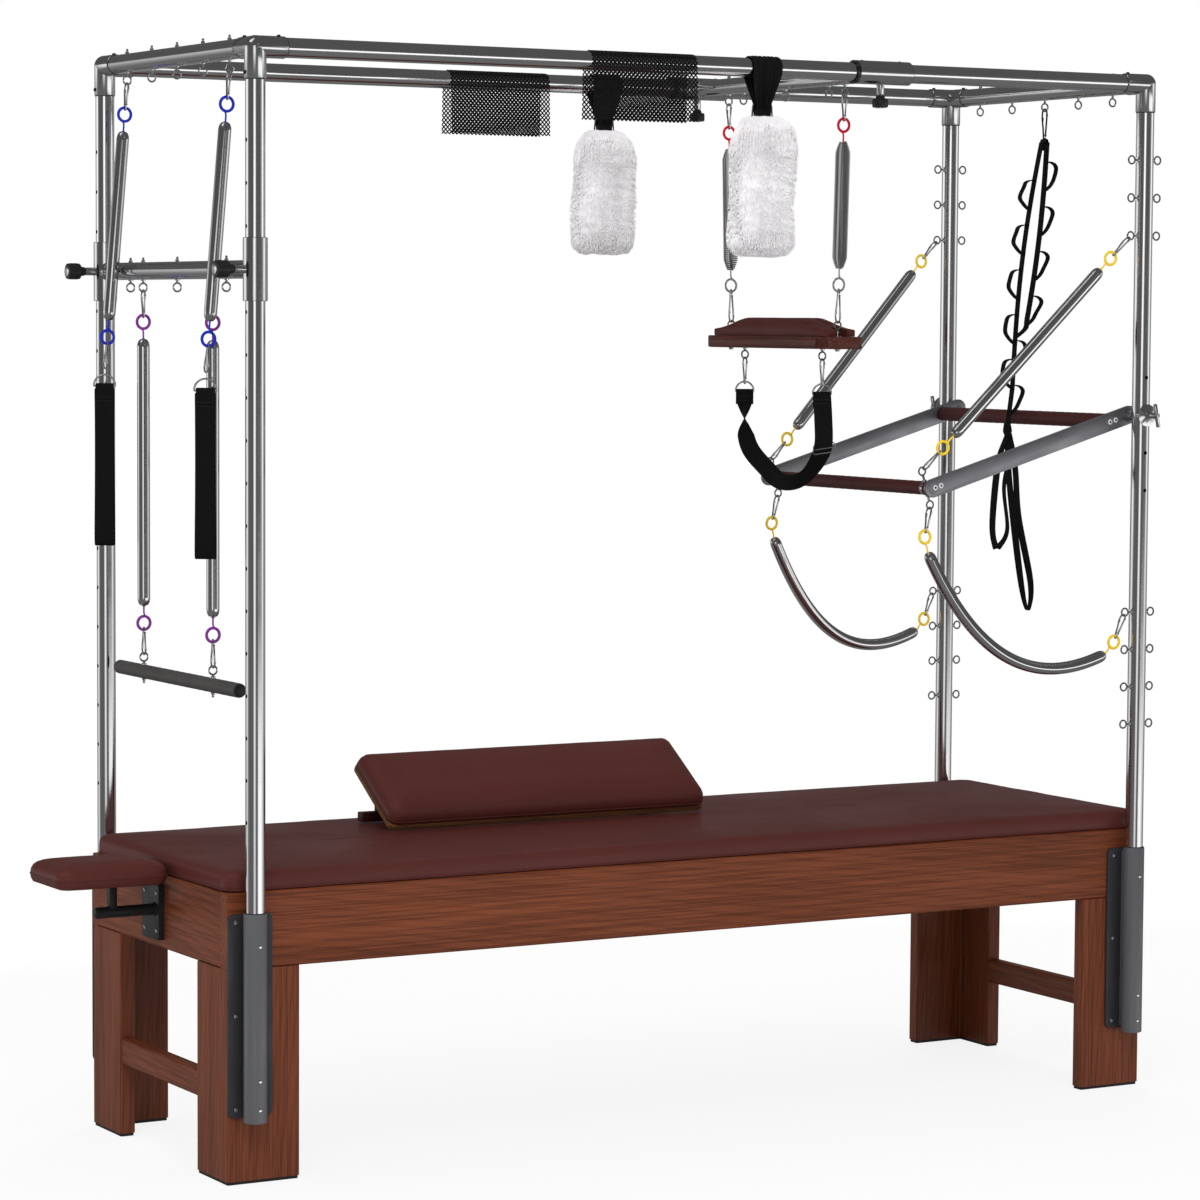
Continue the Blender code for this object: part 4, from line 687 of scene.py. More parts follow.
def along_path(path, far):
    for i in range(1, len(path)):
        step = (path[i] - path[i - 1]).length
        if far <= step or i == len(path) - 1:
            return path[i - 1].lerp(path[i], min(1.0, far / max(step, 1e-9)))
        far -= step
    return path[-1].copy()


def resample(path, count):
    total = path_length(path)
    return [along_path(path, total * i / (count - 1)) for i in range(count)], total


def eyebolt(mould, centre, toward, root, through=0.0):
    """Eye with a collar, its shank and nut, and the nut and thread end past the tube."""
    radius = 0.0083
    chrome = "bright_chrome"
    hoop(mould, centre, Y if abs(toward.y) < 0.5 else X, radius, 0.0019, chrome, 26, 8)
    turned(mould, centre, toward, [(0.003, radius), (0.0026, radius + 0.0014), (0.0023, root - 0.004),
                                   (0.0023, root - 0.0026)], chrome, 12)
    turned(mould, centre, toward, [(0.005, root - 0.003), (0.0052, root - 0.0022), (0.0052, root + 0.0008)], chrome,
           16)
    if through:
        base = centre + toward * through
        hexagon(mould, base - toward * 0.0006, toward, 0.0044, 0.0044)
        turned(mould, base, toward, [(0.0024, 0.003), (0.0024, 0.0086), (0.0018, 0.0094)], "threaded_steel", 10)


def snap_hook(mould, near, far, name="hook_steel", size=1.0):
    """Spring-gate hook: wide bend on the eye, one straight gate, narrow end on the spring's ring."""
    along = (far - near).normalized()
    across = (Y - along * Y.dot(along)).normalized()
    flat = across.cross(along)
    length = (far - near).length
    wire = 0.0019
    wide = 0.0075 * size

    def spot(a, b):
        return near + along * (length * a) + across * (wide * b)

    outline = [(0.0, 0.0), (0.05, 0.72), (0.17, 1.0), (0.3, 1.0), (0.6, 0.6), (0.88, 0.38), (0.98, 0.25), (1.0, 0.0)]
    back = [spot(a, b) for a, b in outline]
    bend = [spot(a, -b) for a, b in outline[:3]]
    rod(mould, smooth(bend[::-1][:-1] + back, 5), wire, name, 10, first=flat)
    rod(mould, smooth([spot(1.0, 0.0), spot(0.98, -0.25), spot(0.86, -0.4)], 4), wire, name, 10, first=flat)
    a = spot(0.17, -1.0)
    b = spot(0.84, -0.41)
    rod(mould, [a, a.lerp(b, 0.06), a.lerp(b, 0.94), b], [wire * 0.7, wire * 1.02, wire * 1.02, wire * 0.7],
        "bright_chrome" if name == "hook_steel" else name, 10)
    for pin in (a.lerp(b, 0.03), a.lerp(b, 0.95)):
        turned(mould, pin - flat * 0.0027, flat, [(0.0011, 0.0), (0.0014, 0.0004), (0.0014, 0.005), (0.0011, 0.0054)],
               name, 10)
    tube(mould, back[3] - across * 0.0012 - along * 0.0035, along, wire * 1.28, 0.007, name, 10)


def coil_skin(mould, path, radius, pitch, name, sides=24, taper=0.017):
    """Spring with its curls closed up: smooth bands with one fine groove wound between them."""
    fine, total = resample(path, 241)
    frames = carried(fine)
    phases = ((0.0, 0.04), (0.045, 0.0), (0.07, 0.0), (0.5, 0.0), (0.93, 0.0), (0.955, 0.0))
    count = int(total / pitch)

    def place(far, angle, deep):
        far = max(0.0, min(total, far))
        share = min(1.0, min(far, total - far) / taper)
        size = radius * (0.34 + 0.66 * sqrt(max(0.0, 1 - (1 - share) ** 2))) - deep
        spot = far / total * 240
        i = min(239, int(spot))
        point = fine[i].lerp(fine[i + 1], spot - i)
        u = frames[i][1].lerp(frames[i + 1][1], spot - i)
        v = frames[i][2].lerp(frames[i + 1][2], spot - i)
        return point + (u * cos(angle) + v * sin(angle)) * size

    points = []
    width = len(phases)
    rows = count * sides + 1
    for row in range(rows):
        angle = 2 * pi * (row % sides) / sides
        for phase, deep in phases:
            points.append(place((row / sides + phase - 0.5) * pitch, angle, deep * pitch))
    faces = []
    for row in range(rows - 1):
        for k in range(width - 1):
            a = row * width + k
            faces.append((a, a + 1, a + width + 1, a + width))
        if row + sides + 1 < rows:
            a = row * width + width - 1
            b = (row + sides) * width
            faces.append((a, b, b + width, a + width))
    mould.add(points, faces, name)
    for spot, out in ((fine[0], -frames[0][0]), (fine[-1], frames[-1][0])):
        turned(mould, spot - out * 0.0012, out, [(radius * 0.4, 0.0), (radius * 0.34, 0.0012),
                                                 (radius * 0.2, 0.0022)], name, 20)


def open_coil(mould, start, end, radius, curls, wire, name, segments=18, sides=7):
    """Spring whose curls stand a little apart, drawn in at both ends."""
    along = (end - start).normalized()
    u, v = square_to(along)
    count = curls * segments
    rings = []
    for i in range(count + 1):
        share = i / count
        edge = min(share, 1 - share) / 0.085
        size = (radius - wire) * (0.42 + 0.58 * min(1.0, edge) ** 0.75)
        angle = 2 * pi * i / segments
        out = u * cos(angle) + v * sin(angle)
        place = start.lerp(end, share) + out * size
        rings.append([place + (out * cos(2 * pi * j / sides) + along * sin(2 * pi * j / sides)) * wire
                      for j in range(sides)])
    mould.add(*loft(rings), name)


def spring_end(mould, ring, tip, name, steel=False):
    """Coloured ring and the bent wire that joins it to the coil."""
    along = (tip - ring).normalized()
    across = (Y - along * Y.dot(along)).normalized()
    hoop(mould, ring, across, RING, 0.0023 if steel else 0.0029, name, 32, 10)
    side = across.cross(along)
    path = [ring + along * (RING - 0.001) + side * 0.0035, ring + along * (RING + 0.0035) + side * 0.0012,
            ring + along * (RING + 0.008), ring + along * ((tip - ring).length + 0.004)]
    rod(mould, smooth(path, 5), 0.0018, name, 10)


def spring_unit(ends, rings, path, radius, colour, piece, body, node, curls=0, low_name=None):
    """Whole spring: hook, ring, coil, ring and hook."""
    mould = Mould()
    if curls:
        open_coil(mould, path[0], path[-1], radius, curls, 0.00165, "spring_steel")
    else:
        coil_skin(mould, path, radius, SPRING_PITCH, "spring_steel")
    joins = ((ends[0], rings[0], path[0], colour), (ends[1], rings[1], path[-1], low_name or colour))
    for end, ring, tip, name in joins:
        spring_end(mould, ring, tip, name, name == low_name)
        along = (ring - end).normalized()
        snap_hook(mould, end + along * 0.0052, ring - along * (RING - 0.0045), size=1.15)
    return mould.make(piece, body, "chrome", [node])


# ---------------------------------------------------------------- settings

class TrapezeFinish(bpy.types.PropertyGroup):
    """Colours and small sizes that the pieces are made with."""
    steel: bpy.props.FloatVectorProperty(name="Steel", description="Colour of the polished tube", subtype="COLOR",
                                         size=3, min=0.0, max=1.0, default=(0.72, 0.72, 0.73))
    walnut: bpy.props.FloatVectorProperty(name="Walnut", description="Lighter colour of the wood's grain",
                                          subtype="COLOR", size=3, min=0.0, max=1.0, default=(0.275, 0.074, 0.029))
    leather: bpy.props.FloatVectorProperty(name="Leather", description="Colour of the cushions", subtype="COLOR",
                                           size=3, min=0.0, max=1.0, default=(0.086, 0.0208, 0.0172))
    ring_blue: bpy.props.FloatVectorProperty(name="Arm spring rings", description="Colour of the arm springs' rings",
                                             subtype="COLOR", size=3, min=0.0, max=1.0, default=(0.006, 0.02, 0.4))
    ring_purple: bpy.props.FloatVectorProperty(name="Roll-down rings",
                                               description="Colour of the roll-down springs' rings", subtype="COLOR",
                                               size=3, min=0.0, max=1.0, default=(0.2, 0.022, 0.27))
    ring_red: bpy.props.FloatVectorProperty(name="Trapeze rings", description="Colour of the trapeze springs' rings",
                                            subtype="COLOR", size=3, min=0.0, max=1.0, default=(0.6, 0.006, 0.022))
    ring_yellow: bpy.props.FloatVectorProperty(name="Push springs' rings",
                                               description="Colour of the push bar springs' rings", subtype="COLOR",
                                               size=3, min=0.0, max=1.0, default=(0.88, 0.6, 0.008))
    net_pitch: bpy.props.FloatProperty(name="Net pitch", description="Distance between the net's openings",
                                       subtype="DISTANCE", unit="LENGTH", default=0.009, min=0.003, max=0.02)
    tuft: bpy.props.FloatProperty(name="Tuft length", description="How far the fleece's tufts stand out",
                                  subtype="DISTANCE", unit="LENGTH", default=0.007, min=0.0, max=0.02)


# ---------------------------------------------------------------- frame pieces

def cut(made, tools):
    """Takes the tools' solids out of a piece."""
    cutter = bpy.data.objects.new("cutter", bpy.data.meshes.new("cutter"))
    cutter.data.from_pydata([point + SHIFT for point in tools.points], [], tools.faces)
    bpy.context.scene.collection.objects.link(cutter)
    step = made.modifiers.new("cut", "BOOLEAN")
    step.operation = "DIFFERENCE"
    step.solver = "EXACT"
    step.object = cutter
    step.material_mode = "INDEX"
    graph = bpy.context.evaluated_depsgraph_get()
    graph.update()
    data = bpy.data.meshes.new_from_object(made.evaluated_get(graph))
    made.modifiers.clear()
    made.data = data
    bpy.data.objects.remove(cutter)
    data.set_sharp_from_angle(angle=radians(38))


def pipe(mould, low, high, outer, inner, name, sides=48):
    """Open tube with eased rims."""
    far = (high - low).length
    ease = min(0.0006, (outer - inner) * 0.3)
    profile = [(inner, ease), (inner + ease, 0.0), (outer - ease, 0.0), (outer, ease), (outer, far - ease),
               (outer - ease, far), (inner + ease, far), (inner, far - ease)]
    turned(mould, low, (high - low).normalized(), profile, name, sides, hollow=True)


def post_at(sx, sy, height):
    return at(POST_X * sx, POST_Y * sy, height)


def dark_line(mould, centre, axis, radius, width=0.0012):
    """Shadow gap where a fitting ends on a tube."""
    # Painted shadow: this thin ring in the black rubber finish stands for the shade in the gap.
    washer(mould, centre - axis * (width / 2), axis, radius - 0.002, radius, width, "black_rubber")


def build_posts():
    for end, sx in ENDS:
        for side, sy in SIDES:
            name = f"post_{end}_{side}"
            foot = post_at(sx, sy, 0.128)
            mould = Mould()
            pipe(mould, foot, post_at(sx, sy, 2.0897), TUBE, TUBE - TUBE_WALL, "steel_tube")
            made = mould.make(name + "_tube", TABLE, "steel", [name])
            tools = Mould()
            if sx < 0:
                spots = [(-X, LOW_BAR_Z + HOLE_PITCH * k) for k in range(-13, 4)]
            else:
                spots = [(Y * sy, PIVOT_Z + HOLE_PITCH * k) for k in (1, -1, -2)]
            for out, height in spots:
                tube(tools, post_at(sx, sy, height) + out * 0.012, out, 0.0042, 0.012, "steel_tube", 20)
            cut(made, tools)
            # Painted shade: faces inside the tube's bore and its holes get the near-black finish.
            made.data.materials.append(paint("tube_inside"))
            axis = foot + SHIFT
            for face in made.data.polygons:
                if hypot(face.center.x - axis.x, face.center.y - axis.y) < TUBE - 0.0006:
                    face.material_index = 1
            if sx > 0:
                extra = Mould()
                for height in POST_EYES:
                    for way in (-1, 1):
                        eyebolt(extra, post_at(sx, sy, height) + X * (0.034 * way), X * -way, 0.016)
                extra.make(name + "_eyes", TABLE, "chrome")
    return True


def eye_row(name, body, x, height, spots, top, root=0.016):
    """Eyebolts in a row under a crossing tube."""
    mould = Mould()
    for y in spots:
        eyebolt(mould, at(x, y, height), Z, root, top - height)
    mould.make(name, body, "chrome")


def elbow(mould, corner, arms, radius):
    """Corner fitting: a tube along each arm, rounded where they meet."""
    turned(mould, corner, Z, [(radius * sin(pi * i / 20), -radius * cos(pi * i / 20)) for i in range(1, 20)],
           "fitting_steel", 40)
    for out, size, far in arms:
        turned(mould, corner, out, [(size, 0.0), (size, far - 0.0022), (size - 0.0008, far - 0.0006),
                                    (size - 0.0016, far), (TUBE + 0.0001, far)], "fitting_steel", 48)
        # Painted shadow line where each arm of the fitting ends.
        dark_line(mould, corner + out * (far + 0.0004), out, TUBE + 0.0006)


def build_end_frames():
    reach = POST_Y - 0.0604
    for end, sx in ENDS:
        mould = Mould()
        inward = X * -sx
        for side, sy in SIDES:
            corner = post_at(sx, sy, FRAME_TOP)
            elbow(mould, corner, [(-Z, 0.021, 0.06), (inward, 0.021, 0.06), (Y * -sy, 0.0208, 0.06)], 0.0212)
            for spot, out in ((inward * 0.048 + Z * 0.021, Z), (Y * (sy * -0.048) + Z * 0.0208, Z),
                              (Z * -0.048 - inward * 0.021, -inward)):
                dome(mould, corner + spot - out * 0.0004, out, 0.004, 0.0032, "black_plastic", 20)
        tube(mould, at(POST_X * sx, -reach, FRAME_TOP), Y, TUBE, 2 * reach, "steel_tube")
        mould.make(f"end_frame_{end}_tube", TABLE, "steel", [f"end_frame_{end}"])
        eye_row(f"end_frame_{end}_eyes", TABLE, POST_X * sx, EYE_Z, [k * 0.1225 for k in range(-2, 3)],
                FRAME_TOP + TUBE, 0.017)
    for side, sy in SIDES:
        mould = Mould()
        tube(mould, at(-0.9747, POST_Y * sy, FRAME_TOP), X, TUBE, 2 * 0.9747, "steel_tube")
        mould.make(f"long_tube_{side}", TABLE, "steel", [f"tube_long_{side}"])
    return True


def build_sockets():
    web_x, web_face = 1.033, 0.3333
    for end, sx in ENDS:
        for side, sy in SIDES:
            name = f"socket_{end}_{side}"
            out = Y * sy
            x = web_x * sx
            mould = Mould()
            base = post_at(sx, sy, 0.124)
            turned(mould, base, Z, [(0.0193, 0.0037), (0.0193, 0.399), (0.0204, 0.4), (0.0216, 0.4), (0.0225, 0.3988),
                                    (0.0225, 0.0012), (0.0214, 0.0), (0.004, 0.0), (0.004, 0.0037)], "socket_metal",
                   48, hollow=True)
            turned(mould, base + Z * 0.4004, Z, [(TUBE + 0.0003, 0.0), (0.0212, 0.0), (0.0208, 0.0009),
                                                 (TUBE + 0.0003, 0.0011)], "black_plastic", 48, hollow=True)
            plate(mould, rounded(rectangle(X, Z, x - 0.046, x + 0.046, 0.13, 0.5198), 0.012), out, 0.3283, web_face,
                  "socket_plate")
            depths = sorted((0.3308 * sy, 0.3425 * sy))
            block(mould, at(x - 0.01, depths[0], 0.134), at(x + 0.01, depths[1], 0.5158), "socket_metal", 0.0012)
            for way in (-1, 1):
                for height in (0.146, 0.325, 0.5038):
                    dome(mould, at(x + way * 0.03, web_face * sy, height), out, 0.0048, 0.0022, "bright_chrome", 20)
            for height in (0.15, 0.205, 0.462):
                dome(mould, at(base.x, base.y + 0.0222 * sy, height), out, 0.0042, 0.0013, "bright_chrome", 20)
            mould.make(name + "_fitting", TABLE, "socket_grey", [name])
    return True


def face_slots(node, names, choose=None):
    """Gives a packed wooden piece its materials, by where each face is if there are two."""
    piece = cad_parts[node]
    piece.data.materials.clear()
    for name in names:
        piece.data.materials.append(paint(name))
    for face in piece.data.polygons:
        middle = sum((piece.data.vertices[index].co for index in face.vertices), at(0, 0, 0)) / len(face.vertices)
        face.material_index = choose(middle) if choose else 0


def build_woodwork():
    for end, _ in ENDS:
        for side, _ in SIDES:
            face_slots(f"leg_{end}_{side}", ["walnut_z", "black_rubber"], lambda spot: 1 if spot.z < 0.0065 else 0)
    for side, _ in SIDES:
        face_slots(f"rail_long_{side}", ["walnut_x"])
    for end, _ in ENDS:
        face_slots(f"rail_end_{end}", ["walnut_y"])
        face_slots(f"stretcher_{end}", ["walnut_y"])
    return True


# ---------------------------------------------------------------- crossbars

def pull_knob(mould, base, out, start, length):
    """Plunger: threaded neck, black grip with a waist and a silver face."""
    tube(mould, base + out * (start - 0.0022), out, 0.0042, 0.004, "threaded_steel", 16)
    steps = [(0.007, 0.0), (0.0085, 0.0012)]
    steps += [(radius, length * share) for radius, share in ((0.0092, 0.1), (0.0094, 0.22), (0.013, 0.27),
                                                             (0.0156, 0.31), (0.016, 0.36), (0.016, 0.88),
                                                             (0.0154, 0.94), (0.0118, 0.96))]
    turned(mould, base + out * start, out, steps, "black_plastic", 40)
    turned(mould, base + out * (start + length * 0.95), out, [(0.0112, 0.0), (0.0112, length * 0.035),
                                                              (0.0104, length * 0.045)], "fitting_steel", 36)
    u, v = square_to(out)
    for spot in ring_of(base + out * (start + length * 0.62), u, v, 0.0155, 12):
        rod(mould, [spot - out * (length * 0.2), spot + out * (length * 0.2)], 0.0009, "black_plastic", 6)


def crossbar(level, label, bar, slide, out, sleeve, caps, screw, collar, seat, knob, eyes):
    """Crossbar on two sleeves, a plunger on each, and its row of eyebolts."""
    half, outer = sleeve
    mould = Mould()
    tube(mould, bar - Y * BAR_HALF, Y, BAR, 2 * BAR_HALF, "steel_tube")
    for side, sy in SIDES:
        middle = bar + Y * (POST_Y * sy)
        pipe(mould, middle - slide * half, middle + slide * half, outer, SLEEVE_BORE, "fitting_steel")
        for far, radius, width in caps:
            washer(mould, middle + slide * far, slide, SLEEVE_BORE, radius, width)
        for way in (-1, 1):
            dome(mould, middle - out * screw[0] + slide * (way * screw[1]), -out, 0.0034, 0.0012, "black_plastic")
        turned(mould, bar + Y * (0.3323 * sy), Y * sy, [(0.0178, 0.0), (0.0195, 0.0012), (0.0195, collar)],
               "fitting_steel", 48)
        turned(mould, middle + out * seat[0], out, [(0.008, 0.0), (0.008, 0.0205), (0.0072, 0.0225)], "fitting_steel",
               28)
        tube(mould, middle + out * seat[1], out, 0.0086, 0.0016, "fitting_steel", 6)
        grip = Mould()
        pull_knob(grip, middle, out, *knob)
        grip.make(f"{level}_plunger_{side}", f"{level}_knob_{side}", "black", [f"plunger_{level}_{side}"])
    mould.make(f"{label}_bar_tube", f"{label}_bar", "steel", [f"{label}_crossbar"])
    height, spots = eyes
    eye_row(f"{label}_bar_eyes", f"{label}_bar", bar.x, height, spots, bar.z + BAR)


def build_lower_bar():
    crossbar("low", "lower", at(-POST_X, 0, LOW_BAR_Z), Z, -X, (0.059, 0.0235),
             ((-0.0594, 0.0221, 0.0016), (0.0578, 0.0221, 0.0016)), (0.0233, 0.04), 0.0102, (0.0215, 0.0226),
             (0.0446, 0.04), (LOW_EYE_Z, (-0.23, -ROLL_EYE_Y, 0.0, ROLL_EYE_Y, 0.23)))
    return True


def build_top_bar():
    crossbar("top", "top", at(TOP_BAR_X, 0, FRAME_TOP), X, -Z, (0.067, 0.024),
             ((-0.0674, 0.024, 0.006), (0.0656, 0.0236, 0.0016)), (0.0236, 0.046), 0.01, (0.022, 0.023),
             (0.0451, 0.026), (TOP_EYE_Z, (-TOP_EYE_Y, -0.168, 0.0, 0.168, TOP_EYE_Y)))
    return True


# ---------------------------------------------------------------- push bar

def push_point(x, y, z):
    return at(POST_X + x * cos(PUSH_TILT) - z * sin(PUSH_TILT), y, PIVOT_Z + x * sin(PUSH_TILT) + z * cos(PUSH_TILT))


def push_way(x, y, z):
    return push_point(x, y, z) - push_point(0, 0, 0)


def foam_roll(mould, low, radius, length):
    """Soft grip on a bar: fine surface, eased ends and black caps."""
    ease = 0.004
    steps = [(radius - ease * 0.9, 0.0062), (radius - ease * 0.3, 0.0068), (radius, 0.0105)]
    count = 60
    steps += [(radius + 0.00025 * sin(i * 2.4), 0.0105 + (length - 0.021) * i / count) for i in range(1, count)]
    steps += [(radius, length - 0.0105), (radius - ease * 0.3, length - 0.0068),
              (radius - ease * 0.9, length - 0.0062)]
    turned(mould, low, Y, steps, "roll_foam", 40)
    for base, out in ((low, Y), (low + Y * length, -Y)):
        turned(mould, base, out, [(radius - 0.0012, 0.0), (radius - 0.0002, 0.001), (radius - 0.0002, 0.0062),
                                  (radius - 0.001, 0.0068)], "black_rubber", 40)


def build_push_bar():
    up = push_way(0, 0, 1).normalized()
    for side, sy in SIDES:
        out = Y * sy
        mould = Mould()
        outline = []
        for x, start in ((0.0, -pi / 2), (-PUSH_ARM, pi / 2)):
            for i in range(17):
                angle = start + pi * i / 16
                outline.append(push_point(x + TUBE * cos(angle), 0, TUBE * sin(angle)))
        plate(mould, outline, out, 0.314, 0.322, "arm_metal", 0.001)
        discs = ((0, 0.321, [(0.014, 0.0), (0.014, 0.0185), (0.0132, 0.0197)], "fitting_steel", 40),
                 (0, 0.3215, [(0.017, 0.0), (0.0172, 0.0006), (0.0168, 0.0022)], "arm_metal", 40),
                 (-PUSH_ARM, 0.3218, [(0.0118, 0.0), (0.0118, 0.0004), (0.0113, 0.0008)], "arm_metal", 36),
                 (-REAR_ROLL, 0.3218, [(0.0126, 0.0), (0.0126, 0.0004), (0.0121, 0.0008)], "arm_metal", 36))
        for x, y, profile, name, sides in discs:
            turned(mould, push_point(x, y * sy, 0), out, profile, name, sides)
        dome(mould, push_point(0, 0.3142 * sy, 0), -out, 0.0085, 0.0002, "fitting_steel", 28)
        for x in (-0.522, -0.507, -0.054, -0.039):
            head = push_point(x, 0.3218 * sy, 0)
            turned(mould, head, out, [(0.0056, 0.0), (0.0056, 0.0007), (0.005, 0.0011)], "screw_face", 24)
            # Painted shade: a dark disc in the screw's recess.
            tube(mould, head + out * 0.0011, out, 0.0026, 0.0004, "tube_inside", 6)
        mould.make(f"push_arm_{side}_plate", "push_bar", "arm_grey", [f"push_arm_{side}"])
    front, rear = Mould(), Mould()
    foam_roll(front, push_point(-PUSH_ARM, -ROLL_HALF, 0), 0.01425, 2 * ROLL_HALF)
    foam_roll(rear, push_point(-REAR_ROLL, -ROLL_HALF, 0), 0.0155, 2 * ROLL_HALF)
    for _, sy in SIDES:
        for way in (-1, 1):
            eyebolt(front, push_point(-PUSH_ARM, PUSH_EYE_Y * sy, PUSH_EYE_UP * way), up * -way, 0.0225)
        turned(front, push_point(-PUSH_ARM, PUSH_EYE_Y * sy, 0) - Y * 0.0048, Y,
               [(0.0146, 0.0), (0.0149, 0.0006), (0.0149, 0.009), (0.0146, 0.0096)], "fitting_steel", 40)
    for place, mould in (("front", front), ("rear", rear)):
        mould.make(f"push_roll_{place}_grip", "push_bar", "roll_brown", [f"push_roll_{place}"])
    for side, sy in SIDES:
        out = Y * sy
        mould = Mould()
        base = at(POST_X, POST_Y * sy, PIVOT_Z)
        turned(mould, base, out, [(0.0193, 0.01), (0.0193, 0.0222), (0.0224, 0.0226), (0.0233, 0.0233),
                                  (0.009, 0.025), (0.0066, 0.0262), (0.0062, 0.029), (0.0062, 0.058),
                                  (0.0056, 0.0592)], "fitting_steel", 40)
        steps = [(0.0024, -0.025), (0.004, -0.0244), (0.0045, -0.0232)]
        steps += [(radius, -far) for radius, far in reversed(steps)]
        turned(mould, at(POST_X, 0.4153 * sy, PIVOT_Z), at(-0.2, 0, 0.98).normalized(), steps, "bright_chrome", 24)
        for far in (0.034, 0.046):
            turned(mould, base + out * far, out, [(0.0062, 0.0), (0.0068, 0.0006), (0.0068, 0.002), (0.0062, 0.0026)],
                   "bright_chrome", 32)
        mould.make(f"tee_{side}_handle", f"tee_{side}", "chrome", [f"tee_handle_{side}"])
    return True


# ---------------------------------------------------------------- springs and what hangs from them

def straight_spring(top, bottom, radius, colour, piece, body, node, low_span=0.068, **options):
    """Spring pulled straight between two eyes; the spans are from eye to ring."""
    along = (bottom - top).normalized()
    ring_a = top + along * 0.068
    ring_b = bottom - along * low_span
    path = [ring_a + along * 0.034, ring_b - along * 0.034]
    return spring_unit((top, bottom), (ring_a, ring_b), path, radius, colour, piece, body, node, **options)


def build_springs():
    for side, sy in SIDES:
        straight_spring(at(-POST_X, ARM_SPRING_Y * sy, EYE_Z), at(ARM_SPRING_X, ARM_SPRING_Y * sy, ARM_SPRING_FOOT),
                        SPRING, "ring_blue", f"arm_spring_{side}_coil", f"arm_spring_{side}", f"spring_blue_{side}")
        straight_spring(at(-POST_X, ROLL_EYE_Y * sy, LOW_EYE_Z), at(-POST_X, ROLL_EYE_Y * sy, ROLL_EYE_Z), SPRING,
                        "ring_purple", f"roll_spring_{side}", "roll_down", f"spring_purple_{side}")
        straight_spring(at(TOP_BAR_X, TOP_EYE_Y * sy, TOP_EYE_Z), at(TOP_BAR_X, TRAPEZE_EYE_Y * sy, 1.637), 0.016,
                        "ring_red", f"trapeze_spring_{side}", "trapeze", f"spring_red_{side}", 0.084, curls=65,
                        low_name="hook_steel")
        top = at(POST_EYE_X, POST_Y * sy, 1.83)
        low = push_point(-PUSH_ARM, PUSH_EYE_Y * sy, PUSH_EYE_UP)
        made = straight_spring(top, low, SPRING, "ring_yellow", f"push_spring_high_{side}", None,
                               f"spring_yellow_high_{side}")
        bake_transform(made)
        first = push_point(-PUSH_ARM, PUSH_EYE_Y * sy, -PUSH_EYE_UP)
        last = at(POST_EYE_X, POST_Y * sy, 1.03)
        ring_a = first + at(-0.014, sy * 0.003, -0.0665)
        ring_b = last + at(-0.026, -sy * 0.003, -0.063)
        start = ring_a + at(0.007, sy * 0.002, -0.0333)
        end = ring_b + at(-0.022, -sy * 0.002, -0.0255)
        b = start + at(0.1, sy * 0.015, -0.205)
        c = end + at(-0.19, -sy * 0.015, -0.078)
        path = [start * (1 - t) ** 3 + b * (3 * t * (1 - t) ** 2) + c * (3 * t * t * (1 - t)) + end * t ** 3
                for t in (i / 80 for i in range(81))]
        made = spring_unit((first, last), (ring_a, ring_b), path, SPRING, "ring_yellow", f"push_spring_low_{side}",
                           None, f"spring_yellow_low_{side}")
        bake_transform(made)
    return True


def dee_ring(mould, bar, across, up, radius, wire, name="bright_chrome"):
    """D-shaped ring: a straight bar for the webbing and a bow above it."""
    path = [bar + across * (radius * cos(pi * i / 24)) + up * (radius * 1.05 * sin(pi * i / 24)) for i in range(25)]
    path += [bar - across * (radius * (1 - i / 3)) for i in range(1, 3)] + [bar]
    path += [bar + across * (radius * i / 3) for i in range(1, 3)]
    rod(mould, path, wire, name, 10, loop=True, first=up.cross(across))


def build_hand_loops():
    turn = radians(30)
    face = at(cos(turn), -sin(turn), 0)
    normal = Z.cross(face)
    for side, sy in SIDES:
        drop = at(ARM_SPRING_X, ARM_SPRING_Y * sy, ARM_SPRING_FOOT)
        lean = (drop - at(-POST_X, ARM_SPRING_Y * sy, EYE_Z)).normalized()
        bar = drop + lean * 0.0081 - Z * 0.0215
        mould = Mould()
        dee_ring(mould, bar, face, Z, 0.0215, 0.002)
        stations = [(0.0026, 0.002), (0.0034, -0.012), (0.0045, -0.06), (0.0088, -0.18), (0.011, -0.273),
                    (0.00825, -0.31)]
        path = [bar + Z * height + normal * out for out, height in stations] + [bar - Z * 0.318]
        path += [bar + Z * height - normal * out for out, height in reversed(stations)] + [bar + Z * 0.0043]
        line = smooth(path, 8, loop=True)
        widths = []
        for point in line:
            share = (bar.z + 0.004 - point.z) / 0.322
            widths.append(0.04 - 0.0022 * sin(pi * min(1.0, max(0.0, share))) - (0.004 if share < 0.03 else 0.0))
        strap(mould, line, face, widths, 0.0025, loop=True)
        for depth in (0.022, 0.03):
            for way in (-1, 1):
                stitch(mould, [bar - Z * depth + normal * (way * 0.0053) + face * x for x in (-0.017, 0.017)],
                       normal * way)
        block(mould, bar + at(-0.0195, -0.0046, -0.0275), bar + at(0.0195, 0.0046, -0.0215), "webbing", 0.0012,
              Matrix.Rotation(-turn, 3, "Z"))
        mould.make(f"hand_loop_{side}_strap", f"arm_spring_{side}", "webbing", [f"hand_loop_{side}"])
    return True


